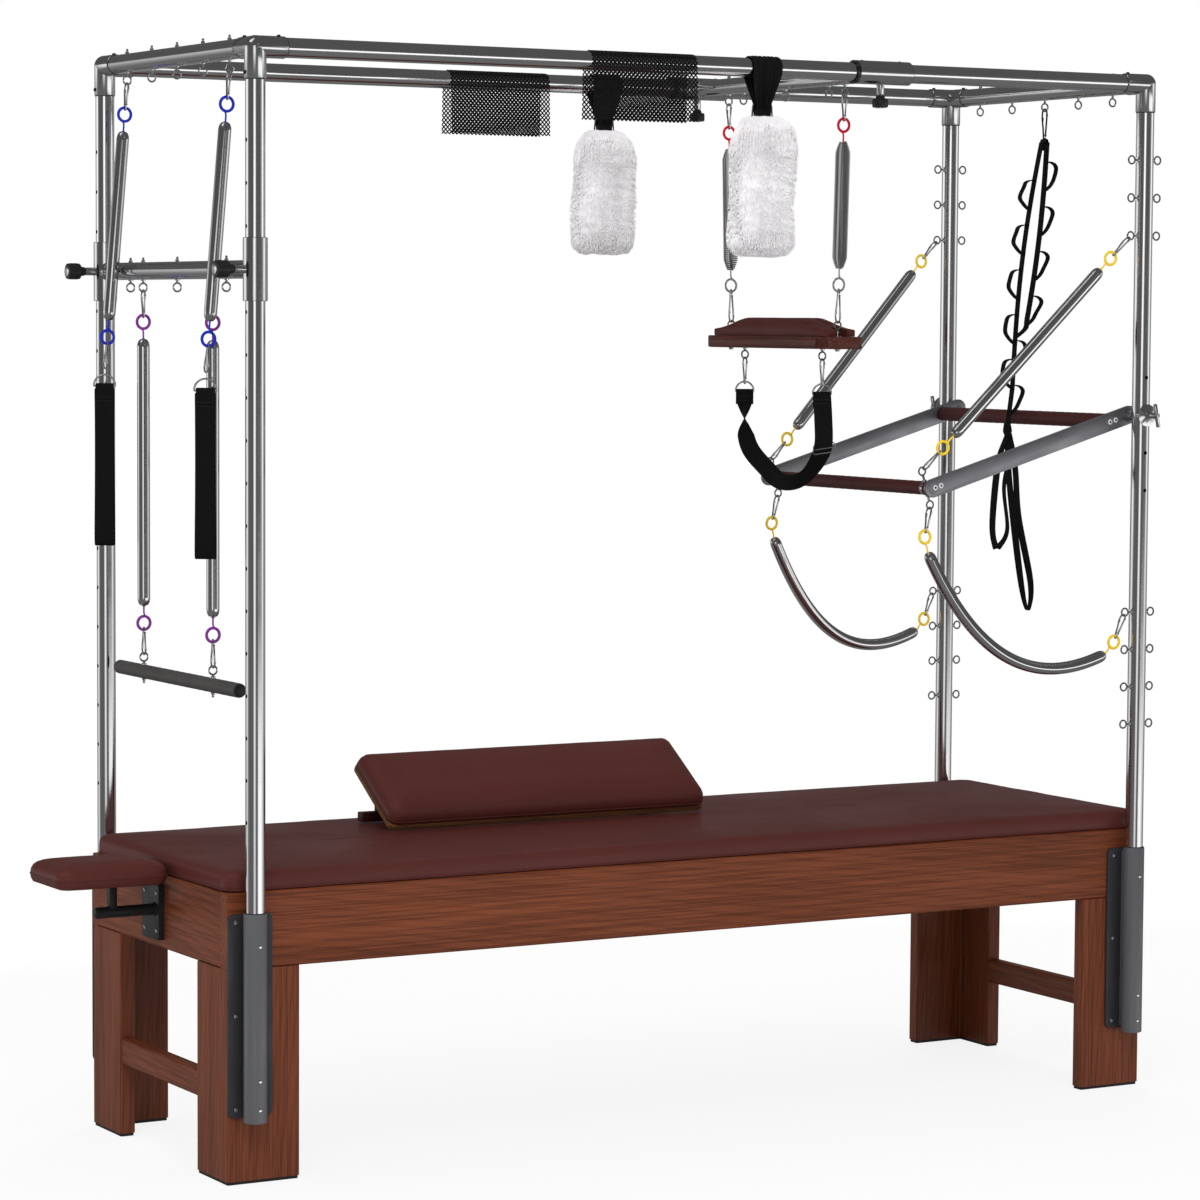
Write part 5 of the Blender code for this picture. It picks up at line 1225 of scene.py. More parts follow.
def build_roll_bar():
    mould = Mould()
    bar = at(-POST_X, -0.2925, 0.9405)
    radius = 0.014
    steps = [(0.0118, 0.0024), (0.0136, 0.0032), (radius, 0.0055)]
    steps += [(radius + 0.00012 * sin(i * 2.1), 0.0055 + 0.574 * i / 60) for i in range(1, 60)]
    steps += [(radius, 0.5795), (0.0136, 0.5818), (0.0118, 0.5826)]
    turned(mould, bar, Y, steps, "grip_foam", 40)
    for base, out in ((bar, Y), (bar + Y * 0.585, -Y)):
        turned(mould, base, out, [(0.01, 0.0), (0.0122, 0.001), (0.0125, 0.0034)], "black_plastic", 36)
    for _, sy in SIDES:
        eyebolt(mould, at(-POST_X, ROLL_EYE_Y * sy, ROLL_EYE_Z), -Z, 0.0148, 0.043)
    mould.make("roll_down_bar_grip", "roll_down", "grip", ["rolldown_bar"])
    return True


# ---------------------------------------------------------------- trapeze

def pad_outline(half_u, half_v, corner, per):
    """Rounded rectangle about the middle, its sides cut into even steps, as (u, v) pairs."""
    corner = max(0.0015, min(corner, half_u - 0.0005, half_v - 0.0005))
    points = []
    u, v = half_u - corner, half_v - corner
    for i, (u0, v0, u1, v1) in enumerate(((u, -v, u, v), (u, v, -u, v), (-u, v, -u, -v), (-u, -v, u, -v))):
        angle = 0.5 * pi * i
        steps = per[i % 2]
        for k in range(steps):
            t = k / steps
            points.append((u0 + (u1 - u0) * t + corner * cos(angle), v0 + (v1 - v0) * t + corner * sin(angle)))
        for k in range(8):
            turn = angle + 0.5 * pi * k / 8
            points.append((u1 + corner * cos(turn), v1 + corner * sin(turn)))
    return points


def stuffed(mould, place, half_u, half_v, corner, levels, crown, name, per, ripple, seams=()):
    """Upholstered pad: side levels as (inset, height), a top that swells to its crown, seam welts and creases."""

    def outline(inset):
        return pad_outline(half_u - inset, half_v - inset, corner - inset * 0.6, per)

    rows = list(levels)
    last_inset, last_height = levels[-1]
    limit = min(half_u, half_v) - 0.003
    count = 14
    for i in range(1, count + 1):
        share = (i / count) ** 1.5
        swell = 1 - (1 - min(1.0, share * 1.6)) ** 2.2
        rows.append((last_inset + (limit - last_inset) * share, last_height + crown * swell))
    rings = []
    for inset, height in rows:
        ring = []
        for u, v in outline(inset):
            wave = noise.noise(at(u * 11, v * 11, height * 30)) * ripple
            fine = noise.noise(at(u * 55, v * 55, height * 90)) * ripple * 0.35
            ring.append(place(u, v, height + (wave + fine) * min(1.0, inset / 0.01)))
        rings.append(ring)
    mould.add(*loft(rings), name)
    for inset, height, wire in seams:
        rod(mould, [place(u, v, height) for u, v in outline(inset)], wire, name, 8, loop=True)


def build_trapeze():
    mould = Mould()
    half_x, half_y = 0.055, 0.259
    quarter = [(half_x, -0.178), (0.0515, -0.196), (0.042, -0.206), (0.0365, -0.217), (0.037, -0.24),
               (0.024, -half_y)]
    half = quarter + [(-x, y) for x, y in reversed(quarter)]
    outline = smooth([at(x, y, 0) for x, y in half + [(-x, -y) for x, y in half]], 5, loop=True)
    rims = ((0.003, 1.588), (0.0011, 1.5886), (0.0, 1.5905), (0.0, 1.611), (0.0011, 1.6129), (0.003, 1.6135))
    rings = [[at(TOP_BAR_X + point.x * (1 - inset / half_x), point.y * (1 - inset / half_y), height)
              for point in outline] for inset, height in rims]
    mould.add(*loft(rings), "board_walnut")

    centre = at(TOP_BAR_X, 0, 0)

    def sloped(u, v, w):
        share = min(1.0, max(0.0, abs(v) - 0.11) / 0.112)
        return at(centre.x + u, v, w - max(0.0, w - 1.626) * 0.84 * share * share * (3 - 2 * share))

    pad = Mould()
    levels = [(0.0006, 1.6138), (0.0, 1.617), (0.0, 1.629), (0.0012, 1.637), (0.0045, 1.6425), (0.01, 1.6458)]
    stuffed(pad, sloped, 0.04, 0.225, 0.014, levels, 0.0065, "pad_leather", (70, 14), 0.0007)
    made = pad.make("trapeze_pad", "trapeze", "leather")
    bores, slots = Mould(), Mould()
    for _, sy in SIDES:
        turned(bores, at(TOP_BAR_X, TRAPEZE_EYE_Y * sy, 1.61), Z, [(0.014, 0.0), (0.0165, 0.06)], "pad_leather")
        near, far = sorted((sy * 0.212, sy * 0.26))
        block(slots, at(TOP_BAR_X - 0.0138, near, 1.61), at(TOP_BAR_X + 0.0138, far, 1.67), "pad_leather", 0.0006)
    cut(made, bores)
    cut(made, slots)
    for _, sy in SIDES:
        spot = at(TOP_BAR_X, TRAPEZE_EYE_Y * sy, 1.622)
        eyebolt(mould, spot + Z * 0.015, -Z, 0.0145)
        turned(mould, spot - Z * 0.0087, Z, [(0.009, 0.0), (0.009, 0.001), (0.0084, 0.0014)], "fitting_steel", 28)
        tube(mould, spot - Z * 0.008, Z, 0.0026, 0.012, "fitting_steel", 16)
        turned(mould, spot - Z * 0.0338, -Z, [(0.008, 0.0), (0.008, 0.0011), (0.0074, 0.0014)], "fitting_steel", 28)
        hexagon(mould, spot - Z * 0.035, -Z, 0.0052, 0.004)
        eyebolt(mould, at(TOP_BAR_X, STRAP_EYE_Y * sy, 1.573), Z, 0.0145)
    mould.make("trapeze_board_wood", "trapeze", "walnut", ["trapeze_board"])
    build_trapeze_strap()
    return True


def wrapped(centre, way, radius, count, tail):
    """Half turn over a bar, with a tail down each side."""
    path = [centre + way * (radius * cos(pi * i / count)) + Z * (radius * sin(pi * i / count))
            for i in range(count + 1)]
    return [path[0] - Z * tail] + path + [path[-1] - Z * tail]


def build_trapeze_strap():
    mould = Mould()
    dee_z = 1.494
    radius = 0.0195
    for _, sy in SIDES:
        bar = at(TOP_BAR_X, STRAP_EYE_Y * sy, dee_z)
        dee_ring(mould, bar, WIDE, Z, radius, 0.002)
        snap_hook(mould, at(TOP_BAR_X, STRAP_EYE_Y * sy, 1.5665), bar + Z * (radius * 1.05 - 0.004))
    stations = [(1, 0, 0), (1, 0.15, 30), (0.99, 0.333, 92), (0.955, 0.51, 158), (0.8, 0.686, 176), (0.4, 0.877, 182),
                (0.065, 1, 188), (-0.327, 1, 206), (-0.68, 0.898, 222), (-0.922, 0.738, 206), (-1.052, 0.556, 184),
                (-1.039, 0.267, 180), (-1, 0, 180)]
    line = smooth([at(TOP_BAR_X, STRAP_EYE_Y * a, dee_z - 0.187 * b) for a, b, _ in stations], 9)
    turns = [stations[i][2] + (stations[i + 1][2] - stations[i][2]) * step / 9 for i in range(len(stations) - 1)
             for step in range(9)] + [stations[-1][2]]
    across = []
    for (along, _, _), turn in zip(carried(line), turns):
        angle = radians(turn)
        flat = along.cross(at(-WIDE.y, WIDE.x, 0.0)).normalized()
        across.append(flat * cos(angle) + along.cross(flat) * sin(angle))
    strap(mould, line, across, 0.038, 0.0025)
    thin = Z.cross(WIDE)
    for bar in (line[0], line[-1]):
        strap(mould, wrapped(bar, thin, 0.0036, 16, 0.028), WIDE, 0.0375, 0.0022)
        for depth in (0.012, 0.02):
            for face in (-1, 1):
                stitch(mould, [bar - Z * depth + thin * (face * 0.0048) + WIDE * x for x in (-0.015, 0.015)],
                       thin * face)
    buckle = at(TOP_BAR_X, -0.1625, 1.38)
    half = 0.0222
    slope = WIDE + Z * 0.16
    corners = [buckle + slope * a + Z * b for a, b in ((-half, -0.0095), (half, -0.0095), (half, 0.0095),
                                                       (-half, 0.0095))]
    rod(mould, [point + thin * 0.0022 for point in rounded(corners, 0.004, 4)], 0.0013, "bright_chrome", 8, loop=True)
    rod(mould, [buckle + slope * a + thin * 0.003 for a in (-half, half)], 0.0013, "bright_chrome", 8)
    mould.make("trapeze_strap_webbing", "trapeze_loop", "webbing", ["trapeze_strap"])


# ---------------------------------------------------------------- ladder

def strand_x(z, lean):
    share = (LADDER_TOP - z) / 0.63
    return POST_X - 0.088 * share + lean * (0.017 * sin(pi * min(1.0, 0.1 + share * 1.05)) + 0.002)


def arch(x, y, radius, steps):
    """Half turn over a long tube, from its near side to its far side."""
    return [at(x, y + radius * cos(pi - pi * i / steps),
               FRAME_TOP + radius * sin(pi - pi * i / steps)) for i in range(steps + 1)]


def merged_x(z, lean):
    """The two strands run apart above the join and together below it."""
    return strand_x(z, -1) if z < LADDER_JOIN else strand_x(z, lean)


def build_ladder():
    mould = Mould()
    snap_hook(mould, at(POST_X, 0, EYE_Z - 0.0035), at(POST_X, 0, LADDER_TOP), "black_plastic", 1.15)
    for lean, width, low in ((-1, 0.017, LADDER_FOOT), (1, 0.019, LADDER_JOIN)):
        heights = [LADDER_TOP - (LADDER_TOP - low) * i / 22 for i in range(23)]
        path = [at(merged_x(height, lean), 0, height) for height in heights]
        if lean > 0:
            path[-1] = at(strand_x(low, -1) + 0.0012, 0, low)
        strap(mould, smooth(path, 4), Y, width, 0.0026)
    head = at(POST_X, 0, 2.042)
    strap(mould, wrapped(head, X, 0.0042, 12, 0.014), Y, 0.019, 0.0024)
    block(mould, head + at(-0.0062, -0.0105, -0.02), head + at(0.0062, 0.0105, -0.008), "webbing", 0.0018)
    for lean, first, count in ((1, 0.119, 6), (-1, 0.16, 5)):
        for i in range(count):
            z = EYE_Z - first - 0.098 * i
            low = z - 0.063
            root = at(merged_x(z, lean), 0, z)
            back = at(merged_x(low, lean), 0, low)
            out = X * (lean * 0.027)
            close = X * (lean * 0.001)
            line = smooth([root + close, root + out * 0.42 - Z * 0.0002, root + out * 0.84 - Z * 0.0045,
                           root + out * 1.04 - Z * 0.015, back + out * 0.98 + Z * 0.026,
                           back + out * 0.66 + Z * 0.012, back + out * 0.24 + Z * 0.002, back + close - Z * 0.001], 6)
            strap(mould, line, Y, 0.0153, 0.0022)
            for spot in (root, back):
                for dz in (-0.0035, 0.0035):
                    for way in (-1, 1):
                        stitch(mould, [spot + at(x, way * 0.0088 * 0.85, dz) for x in (-0.0018, 0.0018)], Y * way,
                               pitch=0.0018, lift=0.0004, wire=0.0004)
    knot = at(0.946, 0, 1.41)
    folds = []
    for i in range(49):
        angle = 4 * pi * i / 48
        folds.append(knot + at(0.0078 * cos(angle), 0.0078 * sin(angle),
                               0.01 - 0.0195 * i / 48 + 0.003 * sin(angle * 1.5 + 0.6)))
    strap(mould, folds, [Z + X * (0.35 * sin(4 * pi * i / 48)) for i in range(49)], 0.0125, 0.003)
    turned(mould, knot + Z * 0.014, -Z, [(0.006, 0.0), (0.0085, 0.006), (0.0085, 0.022), (0.006, 0.028)], "webbing",
           20)
    for side, low, out, shift in ((-1, 0.254, 0.015, -0.022), (1, 0.39, 0.0165, 0.062)):
        foot = knot + X * shift - Z * low
        swing = X * out + Y * (0.006 * side)
        line = smooth([knot - Z * 0.008, knot.lerp(foot, 0.3) - swing * 0.9, knot.lerp(foot, 0.8) - swing,
                       foot - X * 0.007, foot - Z * 0.002 + X * 0.004, knot.lerp(foot, 0.86) + swing * 1.15,
                       knot.lerp(foot, 0.5) + swing * 0.2, knot.lerp(foot, 0.22) + swing * 0.7,
                       knot - Z * 0.008 + X * 0.003], 9)
        angles = [radians(38 + 44 * sin(i * 0.115 + side)) for i in range(len(line))]
        strap(mould, line, [Y * cos(angle) - X * sin(angle) for angle in angles], 0.0148, 0.0022)
    mould.make("ladder_webbing", "ladder", "webbing", ["ladder_strap"])
    return True


# ---------------------------------------------------------------- slings and covers

def over_tube(x, sy, radius, drop, flare):
    """Line over a long tube and down both sides."""
    y = POST_Y * sy
    side = [at(x, y - radius - flare * (1 - k / 5) ** 2, drop + (FRAME_TOP - drop) * k / 5) for k in range(5)]
    return side + arch(x, y, radius, 30) + [at(x, 2 * y - point.y, point.z) for point in reversed(side)]


def fleece_body(mould, centre, tuft, tall):
    """Woolly bag: a soft box covered in tufts that stand out and down."""
    levels = [(0.034, 0.026, 0.002), (0.023, 0.018, -0.005), (0.01, 0.009, -0.02), (0.002, 0.002, -0.05),
              (0.0, 0.0, -0.09), (0.0, 0.0, -0.22), (0.003, 0.004, -0.256), (0.022, 0.021, -0.275)]
    rings = []
    for inset_u, inset_v, dz in smooth([at(a, b, c * tall) for a, b, c in levels], 6):
        half_u = 0.066 - max(0.0, inset_u) - tuft * 0.55
        half_v = 0.0485 - max(0.0, inset_v) - tuft * 0.55
        ring = []
        for u, v in pad_outline(half_u, half_v, min(half_u, half_v) * 0.72, (9, 12)):
            lump = 0.97 + 0.16 * noise.noise(at(u * 24 + centre.x * 31, v * 24, dz * 11))
            lump += 0.05 * noise.noise(at(u * 70, v * 70, dz * 26))
            ring.append(centre + at(u * lump, v * lump, dz + 0.004 * noise.noise(at(u * 60, v * 60, dz * 20))))
        rings.append(ring)
    mould.add(*loft(rings), "fleece_pile")
    size = len(rings[0])
    for i in range(1, len(rings) - 1):
        for k in range(4):
            for j in range(size):
                share = 0.5 + 0.9 * noise.noise(at(i * 3.1 + k * 7.7, j * 2.3, k * 5.1))
                root = rings[i][j].lerp(rings[i + 1][(j + 1) % size], share)
                out = at(root.x - centre.x, (root.y - centre.y) * 1.4, 0).normalized()
                curl = noise.noise_vector(root * 95 + X * k)
                reach = tuft * (0.62 + 0.5 * abs(curl.x))
                lean = out * reach + Z * (-reach * (0.75 + 0.8 * curl.z)) + Z.cross(out) * (reach * 0.9 * curl.y)
                tip = root + lean
                tip.z = max(tip.z, centre.z - 0.2745 * tall)
                middle = root + out * (reach * 0.75) + Z * (reach * 0.12)
                wide = 0.0017 + 0.001 * abs(curl.y)
                rod(mould, [root - out * 0.002, middle, tip], [wide, wide * 0.8, wide * 0.16], "fleece_pile", 3)


def build_slings():
    tuft = bpy.context.scene.trapeze_finish.tuft
    noise.seed_set(CURL_SEED)
    for side, sy, x, tall in (("near", -1, 0.078, 1.0), ("far", 1, 0.126, 0.955)):
        mould = Mould()
        y = POST_Y * sy
        fleece_body(mould, at(x, y, 2.05), tuft, tall)
        path = sling_wrap(x, y, TUBE + 0.00295)
        pleated(mould, path, [0.033 + 0.034 * max(0.0, min(1.0, (point.z - 2.078) / 0.06)) ** 0.8 for point in path])
        ring = rounded([at(x + a, y, b) for a, b in ((-0.025, 2.042), (0.025, 2.042), (0.0215, 2.079),
                                                     (-0.0215, 2.079))], 0.006, 4)
        rod(mould, ring, 0.0018, "bright_chrome", 8, loop=True, first=Y)
        block(mould, at(x - 0.0165, y - 0.0085, 2.046), at(x + 0.0165, y + 0.0085, 2.066), "gathered_webbing", 0.003)
        mould.make(f"sling_{side}_fleece", f"sling_{side}", "fleece", [f"fleece_sling_{side}"])
    return True


def sling_wrap(x, y, radius):
    """Strap round the tube whose two ends run together at the neck."""
    side = [at(x, y - 0.006, 2.06), at(x, y - 0.0072, 2.08), at(x, y - 0.014, 2.112), at(x, y - radius * 0.93, 2.137)]
    return side + arch(x, y, radius, 24) + [at(x, 2 * y - point.y, point.z) for point in reversed(side)]


def pleated(mould, path, widths):
    """Wide webbing gathered to the tube: fine folds that open out towards its ends."""
    rings = []
    marks = []
    count = 41
    far = 0.0
    for i, (point, wide, (along, _, _)) in enumerate(zip(path, widths, carried(path))):
        if i:
            far += (point - path[i - 1]).length
        normal = X.cross(along)
        edge = min(1.0, min(i, len(path) - 1 - i) / 6)
        depth = 0.001 + 0.0012 * (1 - edge)
        row = []
        for j in range(count):
            share = j / (count - 1) - 0.5
            fold = depth * sin(share * 46 + 0.8 * sin(share * 13 + far * 30))
            row.append((share * wide, fold * (1 - abs(share * 2) ** 6)))
        both = [(a, b + 0.0011) for a, b in row] + [(a, b - 0.0011) for a, b in reversed(row)]
        rings.append([point + X * a + normal * b for a, b in both])
        marks += [(far, a, 0.0) for a, _ in both]
    mould.add(*loft(rings), "gathered_webbing", marks)


def build_covers():
    pitch = bpy.context.scene.trapeze_finish.net_pitch
    count = int(COVER_WIDE / pitch) * 2
    for side, sy, x in (("near", -1, -0.2045), ("far", 1, -0.1385)):
        path = over_tube(x, sy, TUBE + 0.0014, 2.037, 0.003)
        rows = int(path_length(path) / (pitch / 2 * 1.05))
        rows -= rows % 2
        line, total = resample(path, rows + 1)
        nodes = []
        for point, (along, _, _) in zip(line, carried(line, first=X)):
            nodes.append([(point + X * (COVER_WIDE * (j / count - 0.5)), X.cross(along)) for j in range(count + 1)])
        mould = Mould()
        for i in range(rows):
            for j in range(count):
                k = (i + j) % 2
                strand(mould, *nodes[i][j + k], *nodes[i + 1][j + 1 - k])
        made = mould.make(f"net_cover_{side}", TABLE, "mesh_cloth", [f"mesh_cover_{side}"])
    return True


def strand(mould, a, normal, b, other):
    """Flat thread of the net between two knots."""
    wire = 0.0004
    along = (b - a).normalized()
    points = []
    for knot, up in ((a, normal), (b, other)):
        side = along.cross(up).normalized() * (wire * 3.3)
        lift = up * wire
        points += [knot - side - lift, knot + side - lift, knot + side + lift, knot - side + lift]
    faces = [(0, 1, 5, 4), (1, 2, 6, 5), (2, 3, 7, 6), (3, 0, 4, 7), (3, 2, 1, 0), (4, 5, 6, 7)]
    mould.add(points, faces, "net_cloth")


# ---------------------------------------------------------------- cushions

def build_mattress():
    mould = Mould()
    base, half_x, half_y = 0.5606, 1.077, 0.326
    levels = [(inset, base + height) for inset, height in ((0.006, 0.0), (0.0018, 0.0008), (0.0, 0.004), (0.0, 0.012),
                                                           (0.0002, 0.02), (0.001, 0.0275), (0.004, 0.033),
                                                           (0.0085, 0.0362), (0.015, 0.038), (0.024, 0.0388))]
    stuffed(mould, at, half_x, half_y, 0.032, levels, 0.0044, "leather", (150, 46), 0.0007,
            ((0.0002, base + 0.003, 0.0016),))
    for end in (-1, 1):
        for way in (-1, 1):
            corner = at(end * (half_x - 0.0094), way * (half_y - 0.0094), base + 0.0315)
            line = [corner + at(-end * 0.0011 * k, -way * 0.0011 * k, -0.0275 + 0.0058 * k) for k in range(5)]
            stitch(mould, line, at(end, way, 0.3).normalized(), "stitching", 0.0035, 0.0002)
    made = mould.make("mattress_leather", TABLE, "leather", ["mattress"])
    return True


def build_headrest():
    mould = Mould()
    centre = at(-1.2035, 0, 0.547)
    levels = [(0.011, 0.0006), (0.0045, 0.003), (0.001, 0.01), (0.0, 0.019), (0.001, 0.028), (0.005, 0.036),
              (0.011, 0.041), (0.02, 0.0448)]
    stuffed(mould, lambda u, v, w: centre + at(u, v, w), 0.1155, 0.09, 0.03, levels, 0.0048, "leather", (26, 34),
            0.001, ((0.0001, 0.0185, 0.0014),))
    made = mould.make("headrest_leather", TABLE, "leather", ["headrest_pad"])
    mould = Mould()
    black = "black_plastic"
    plate(mould, rounded(rectangle(Y, Z, -0.033, 0.047, 0.43, 0.54), 0.006, 5), X, -1.0913, -1.0793, black, 0.001)
    start = at(-1.088, -0.012, 0.49)
    turned(mould, start, -X, [(0.0138, 0.0), (0.0138, 0.005), (0.013, 0.006), (0.01125, 0.006), (0.01125, 0.124),
                              (0.01, 0.127), (0.008, 0.1284)], black, 36)
    for far in (0.01, 0.013, 0.118):
        turned(mould, start - X * far, -X, [(0.0113, 0.0), (0.0118, 0.0005), (0.0118, 0.0012), (0.0113, 0.0017)],
               black, 36)
    block(mould, at(-1.1883, -0.02, 0.4925), at(-1.1723, -0.004, 0.5464), black, 0.0022)
    for y in (-0.022, 0.036):
        for z in (0.448, 0.522):
            dome(mould, at(-1.0912, y, z), -X, 0.0045, 0.002, "bright_chrome", 24)
    mould.make("headrest_bracket_plate", TABLE, "black", ["headrest_bracket"])
    return True


def build_cushion():
    tilt = radians(33)
    edge = at(-0.1725, 0.05, 0.6056)
    along = at(0, cos(tilt), sin(tilt))
    up = at(0, -sin(tilt), cos(tilt))
    mould = Mould()
    corners = [edge + X * a + along * b for a, b in ((-0.3735, 0), (0.3735, 0), (0.3735, 0.203), (-0.3735, 0.203))]
    plate(mould, rounded(corners, 0.012, 6), up, 0.0, 0.01, "edge_wood", 0.0012)
    mould.make("cushion_board_wood", TABLE, "board_edge", ["cushion_board"])
    middle = edge + along * 0.1015 + up * 0.0103
    pad = Mould()
    levels = [(0.004, 0.0), (0.0012, 0.0022), (0.0, 0.0085), (0.0004, 0.015), (0.0022, 0.022), (0.007, 0.03),
              (0.0145, 0.0362), (0.025, 0.0405)]
    stuffed(pad, lambda u, v, w: middle + X * u + along * v + up * w, 0.3745, 0.102, 0.022, levels, 0.008, "leather",
            (22, 70), 0.001, ((0.0001, 0.0085, 0.0014),))
    made = pad.make("cushion_leather", TABLE, "leather", ["cushion_pad"])
    hinge = at(-0.1725, 0.2052, 0.6971)
    foot = 0.6058
    wood = "dark_walnut"
    mould = Mould()
    turned(mould, hinge - X * 0.3525, X, [(0.006, 0.0), (0.007, 0.0012), (0.007, 0.7038), (0.006, 0.705)], wood)
    block(mould, at(hinge.x - 0.366, hinge.y - 0.019, foot), at(hinge.x + 0.366, hinge.y + 0.006, foot + 0.02), wood,
          0.002)
    for way in (-1, 1):
        leg = hinge.x + way * 0.3125
        block(mould, at(leg - 0.015, hinge.y - 0.0065, foot + 0.01), at(leg + 0.015, hinge.y + 0.0045, hinge.z), wood,
              0.0012)
    mould.make("cushion_prop_wood", "prop", "walnut", ["cushion_prop"])
    return True


# ---------------------------------------------------------------- stage

def build_stage():
    scene = bpy.context.scene
    yaw, pitch, roll = 0.519789, 0.071284, 0.0060937
    forward = at(sin(yaw) * cos(pitch), cos(yaw) * cos(pitch), -sin(pitch))
    right = at(cos(yaw), -sin(yaw), 0)
    up = right.cross(forward)
    axes = (right * cos(roll) + up * sin(roll), up * cos(roll) - right * sin(roll), -forward)
    lens = bpy.data.cameras.new("view")
    lens.lens = 119.742
    lens.sensor_width = 36.0
    lens.sensor_fit = "HORIZONTAL"
    lens.clip_end = 60.0
    camera = bpy.data.objects.new("view", lens)
    camera.matrix_world = turned_to(at(-4.06806, -7.17342, 1.65564), axes)
    scene.collection.objects.link(camera)
    scene.camera = camera
    scene.view_settings.view_transform = "Standard"

    floor_mesh = bpy.data.meshes.new("studio_floor")
    floor_mesh.from_pydata([(-30, -30, 0), (30, -30, 0), (30, 30, 0), (-30, 30, 0)], [], [(0, 1, 2, 3)])
    floor = bpy.data.objects.new("studio_floor", floor_mesh)
    scene.collection.objects.link(floor)
    floor_mesh.materials.append(floor_material())
    build_world(scene)
    lamps = (("key", (-2.4, -3.6, 4.8), 3.2, 2.4, 150.0), ("fill", (-5.5, 0.5, 2.2), 2.2, 2.6, 42.0),
             ("back", (2.8, 3.4, 4.4), 2.6, 2.2, 90.0), ("front", (1.4, -5.5, 1.6), 2.6, 1.8, 24.0))
    for name, spot, wide, high, power in lamps:
        lamp = bpy.data.lights.new(name, "AREA")
        lamp.shape = "RECTANGLE"
        lamp.size = wide
        lamp.size_y = high
        lamp.energy = power
        piece = bpy.data.objects.new(name, lamp)
        back = (Vector(spot) - Z).normalized()
        side = Z.cross(back).normalized()
        piece.matrix_world = turned_to(spot, (side, back.cross(side), back))
        piece.visible_glossy = False
        scene.collection.objects.link(piece)
    return True


def floor_material():
    """Pale floor that fades to white around the table and can't be seen in reflections."""
    pale, tree, main, place = shader("studio_floor", (0.9, 0.9, 0.9), 0.8, Specular_IOR_Level=0.0)
    shrunk = add(tree, "ShaderNodeMapping", {"Vector": place, "Location": (-0.06, 0.0, 0.0),
                                             "Scale": (0.42, 0.62, 1.0)}).outputs[0]
    far = add(tree, "ShaderNodeVectorMath", {0: shrunk}, operation="LENGTH").outputs["Value"]
    fade = sums(tree, "MAXIMUM", climb(tree, far, 0.75, 1.5, interpolation_type="SMOOTHSTEP"), 0.86)
    rays = add(tree, "ShaderNodeLightPath").outputs
    seen = sums(tree, "ADD", rays["Is Camera Ray"], rays["Is Transmission Ray"], clamp=True)
    glow = add(tree, "ShaderNodeEmission", {"Color": WHITE, "Strength": 1.0}).outputs[0]
    mixed = add(tree, "ShaderNodeMixShader", {0: sums(tree, "MULTIPLY", seen, fade), 1: main.outputs[0], 2: glow})
    clear = add(tree, "ShaderNodeBsdfTransparent").outputs[0]
    whole = add(tree, "ShaderNodeMixShader", {0: rays["Is Glossy Ray"], 1: mixed.outputs[0], 2: clear}).outputs[0]
    tree.links.new(whole, tree.nodes["Material Output"].inputs["Surface"])
    return pale


def turned_to(spot, axes):
    """Place with the given x, y and z directions."""
    return Matrix.Translation(spot) @ Matrix(axes).transposed().to_4x4()


def build_world(scene):
    """White to the eye, soft and even for diffuse light, and softboxes between dark flags for reflections."""
    world = bpy.data.worlds.new("studio")
    world.use_nodes = True
    scene.world = world
    tree = world.node_tree
    tree.nodes.clear()
    place = add(tree, "ShaderNodeTexCoord").outputs["Generated"]
    turn = add(tree, "ShaderNodeVectorRotate", {"Vector": place, "Angle": 2.0905}, rotation_type="Z_AXIS")
    parts = add(tree, "ShaderNodeSeparateXYZ", {0: turn.outputs[0]}).outputs
    height = parts[2]
    angle = sums(tree, "DIVIDE", sums(tree, "ARCTAN2", parts[1], parts[0]), 2 * pi)
    around = sums(tree, "ADD", angle, 0.5, clamp=True)

    def spot(bearing):
        return (bearing + 180.0) / 360.0

    glows = ((-180, 0.34), (-130, 0.4), (-121, 0.8), (-109, 1.4), (-96, 1.4), (-84, 0.4), (-72, 0.12), (-19, 0.1),
             (-12, 0.9), (-8, 1.55), (3, 1.55), (8, 0.75), (15, 0.11), (62, 0.11), (80, 0.4), (90, 1.4), (100, 1.4),
             (111, 0.5), (121, 0.34), (180, 0.34))
    walls = ramp(tree, around, [(spot(bearing), glow) for bearing, glow in glows])
    seen = blend(tree, climb(tree, height, 0.08, 0.13), walls, (0.1, 0.1, 0.1))
    seen = blend(tree, climb(tree, height, 0.03, -0.31), seen, (0.17, 0.17, 0.17))
    boxes = ((30, 90, 12, -0.38, -0.32, -0.08, -0.11, 1.5), (-82, -34, 8, 0.6, 0.65, 1.02, 0.97, 1.3),
             (31, 47, 8, 0.27, 0.32, 0.44, 0.39, 0.9))
    for left, right, soft, base, full_base, top, full_top, glow in boxes:
        share = 1.0
        for value, start, end in ((around, spot(left), spot(left + soft)), (around, spot(right), spot(right - soft)),
                                  (height, base, full_base), (height, top, full_top)):
            share = sums(tree, "MULTIPLY", climb(tree, value, start, end), share)
        seen = blend(tree, share, seen, (glow, glow, glow))
    rays = add(tree, "ShaderNodeLightPath").outputs
    glossy, soft, white = (add(tree, "ShaderNodeBackground", {"Color": colour, "Strength": strength}).outputs[0]
                           for colour, strength in ((seen, 1.0), (WHITE, 0.55), (WHITE, 1.0)))
    first = add(tree, "ShaderNodeMixShader", {0: rays["Is Glossy Ray"], 1: soft, 2: glossy}).outputs[0]
    direct = sums(tree, "ADD", rays["Is Camera Ray"], rays["Is Transmission Ray"], clamp=True)
    last = add(tree, "ShaderNodeMixShader", {0: direct, 1: first, 2: white}).outputs[0]
    tree.links.new(last, add(tree, "ShaderNodeOutputWorld").inputs["Surface"])


# ---------------------------------------------------------------- operators and panel

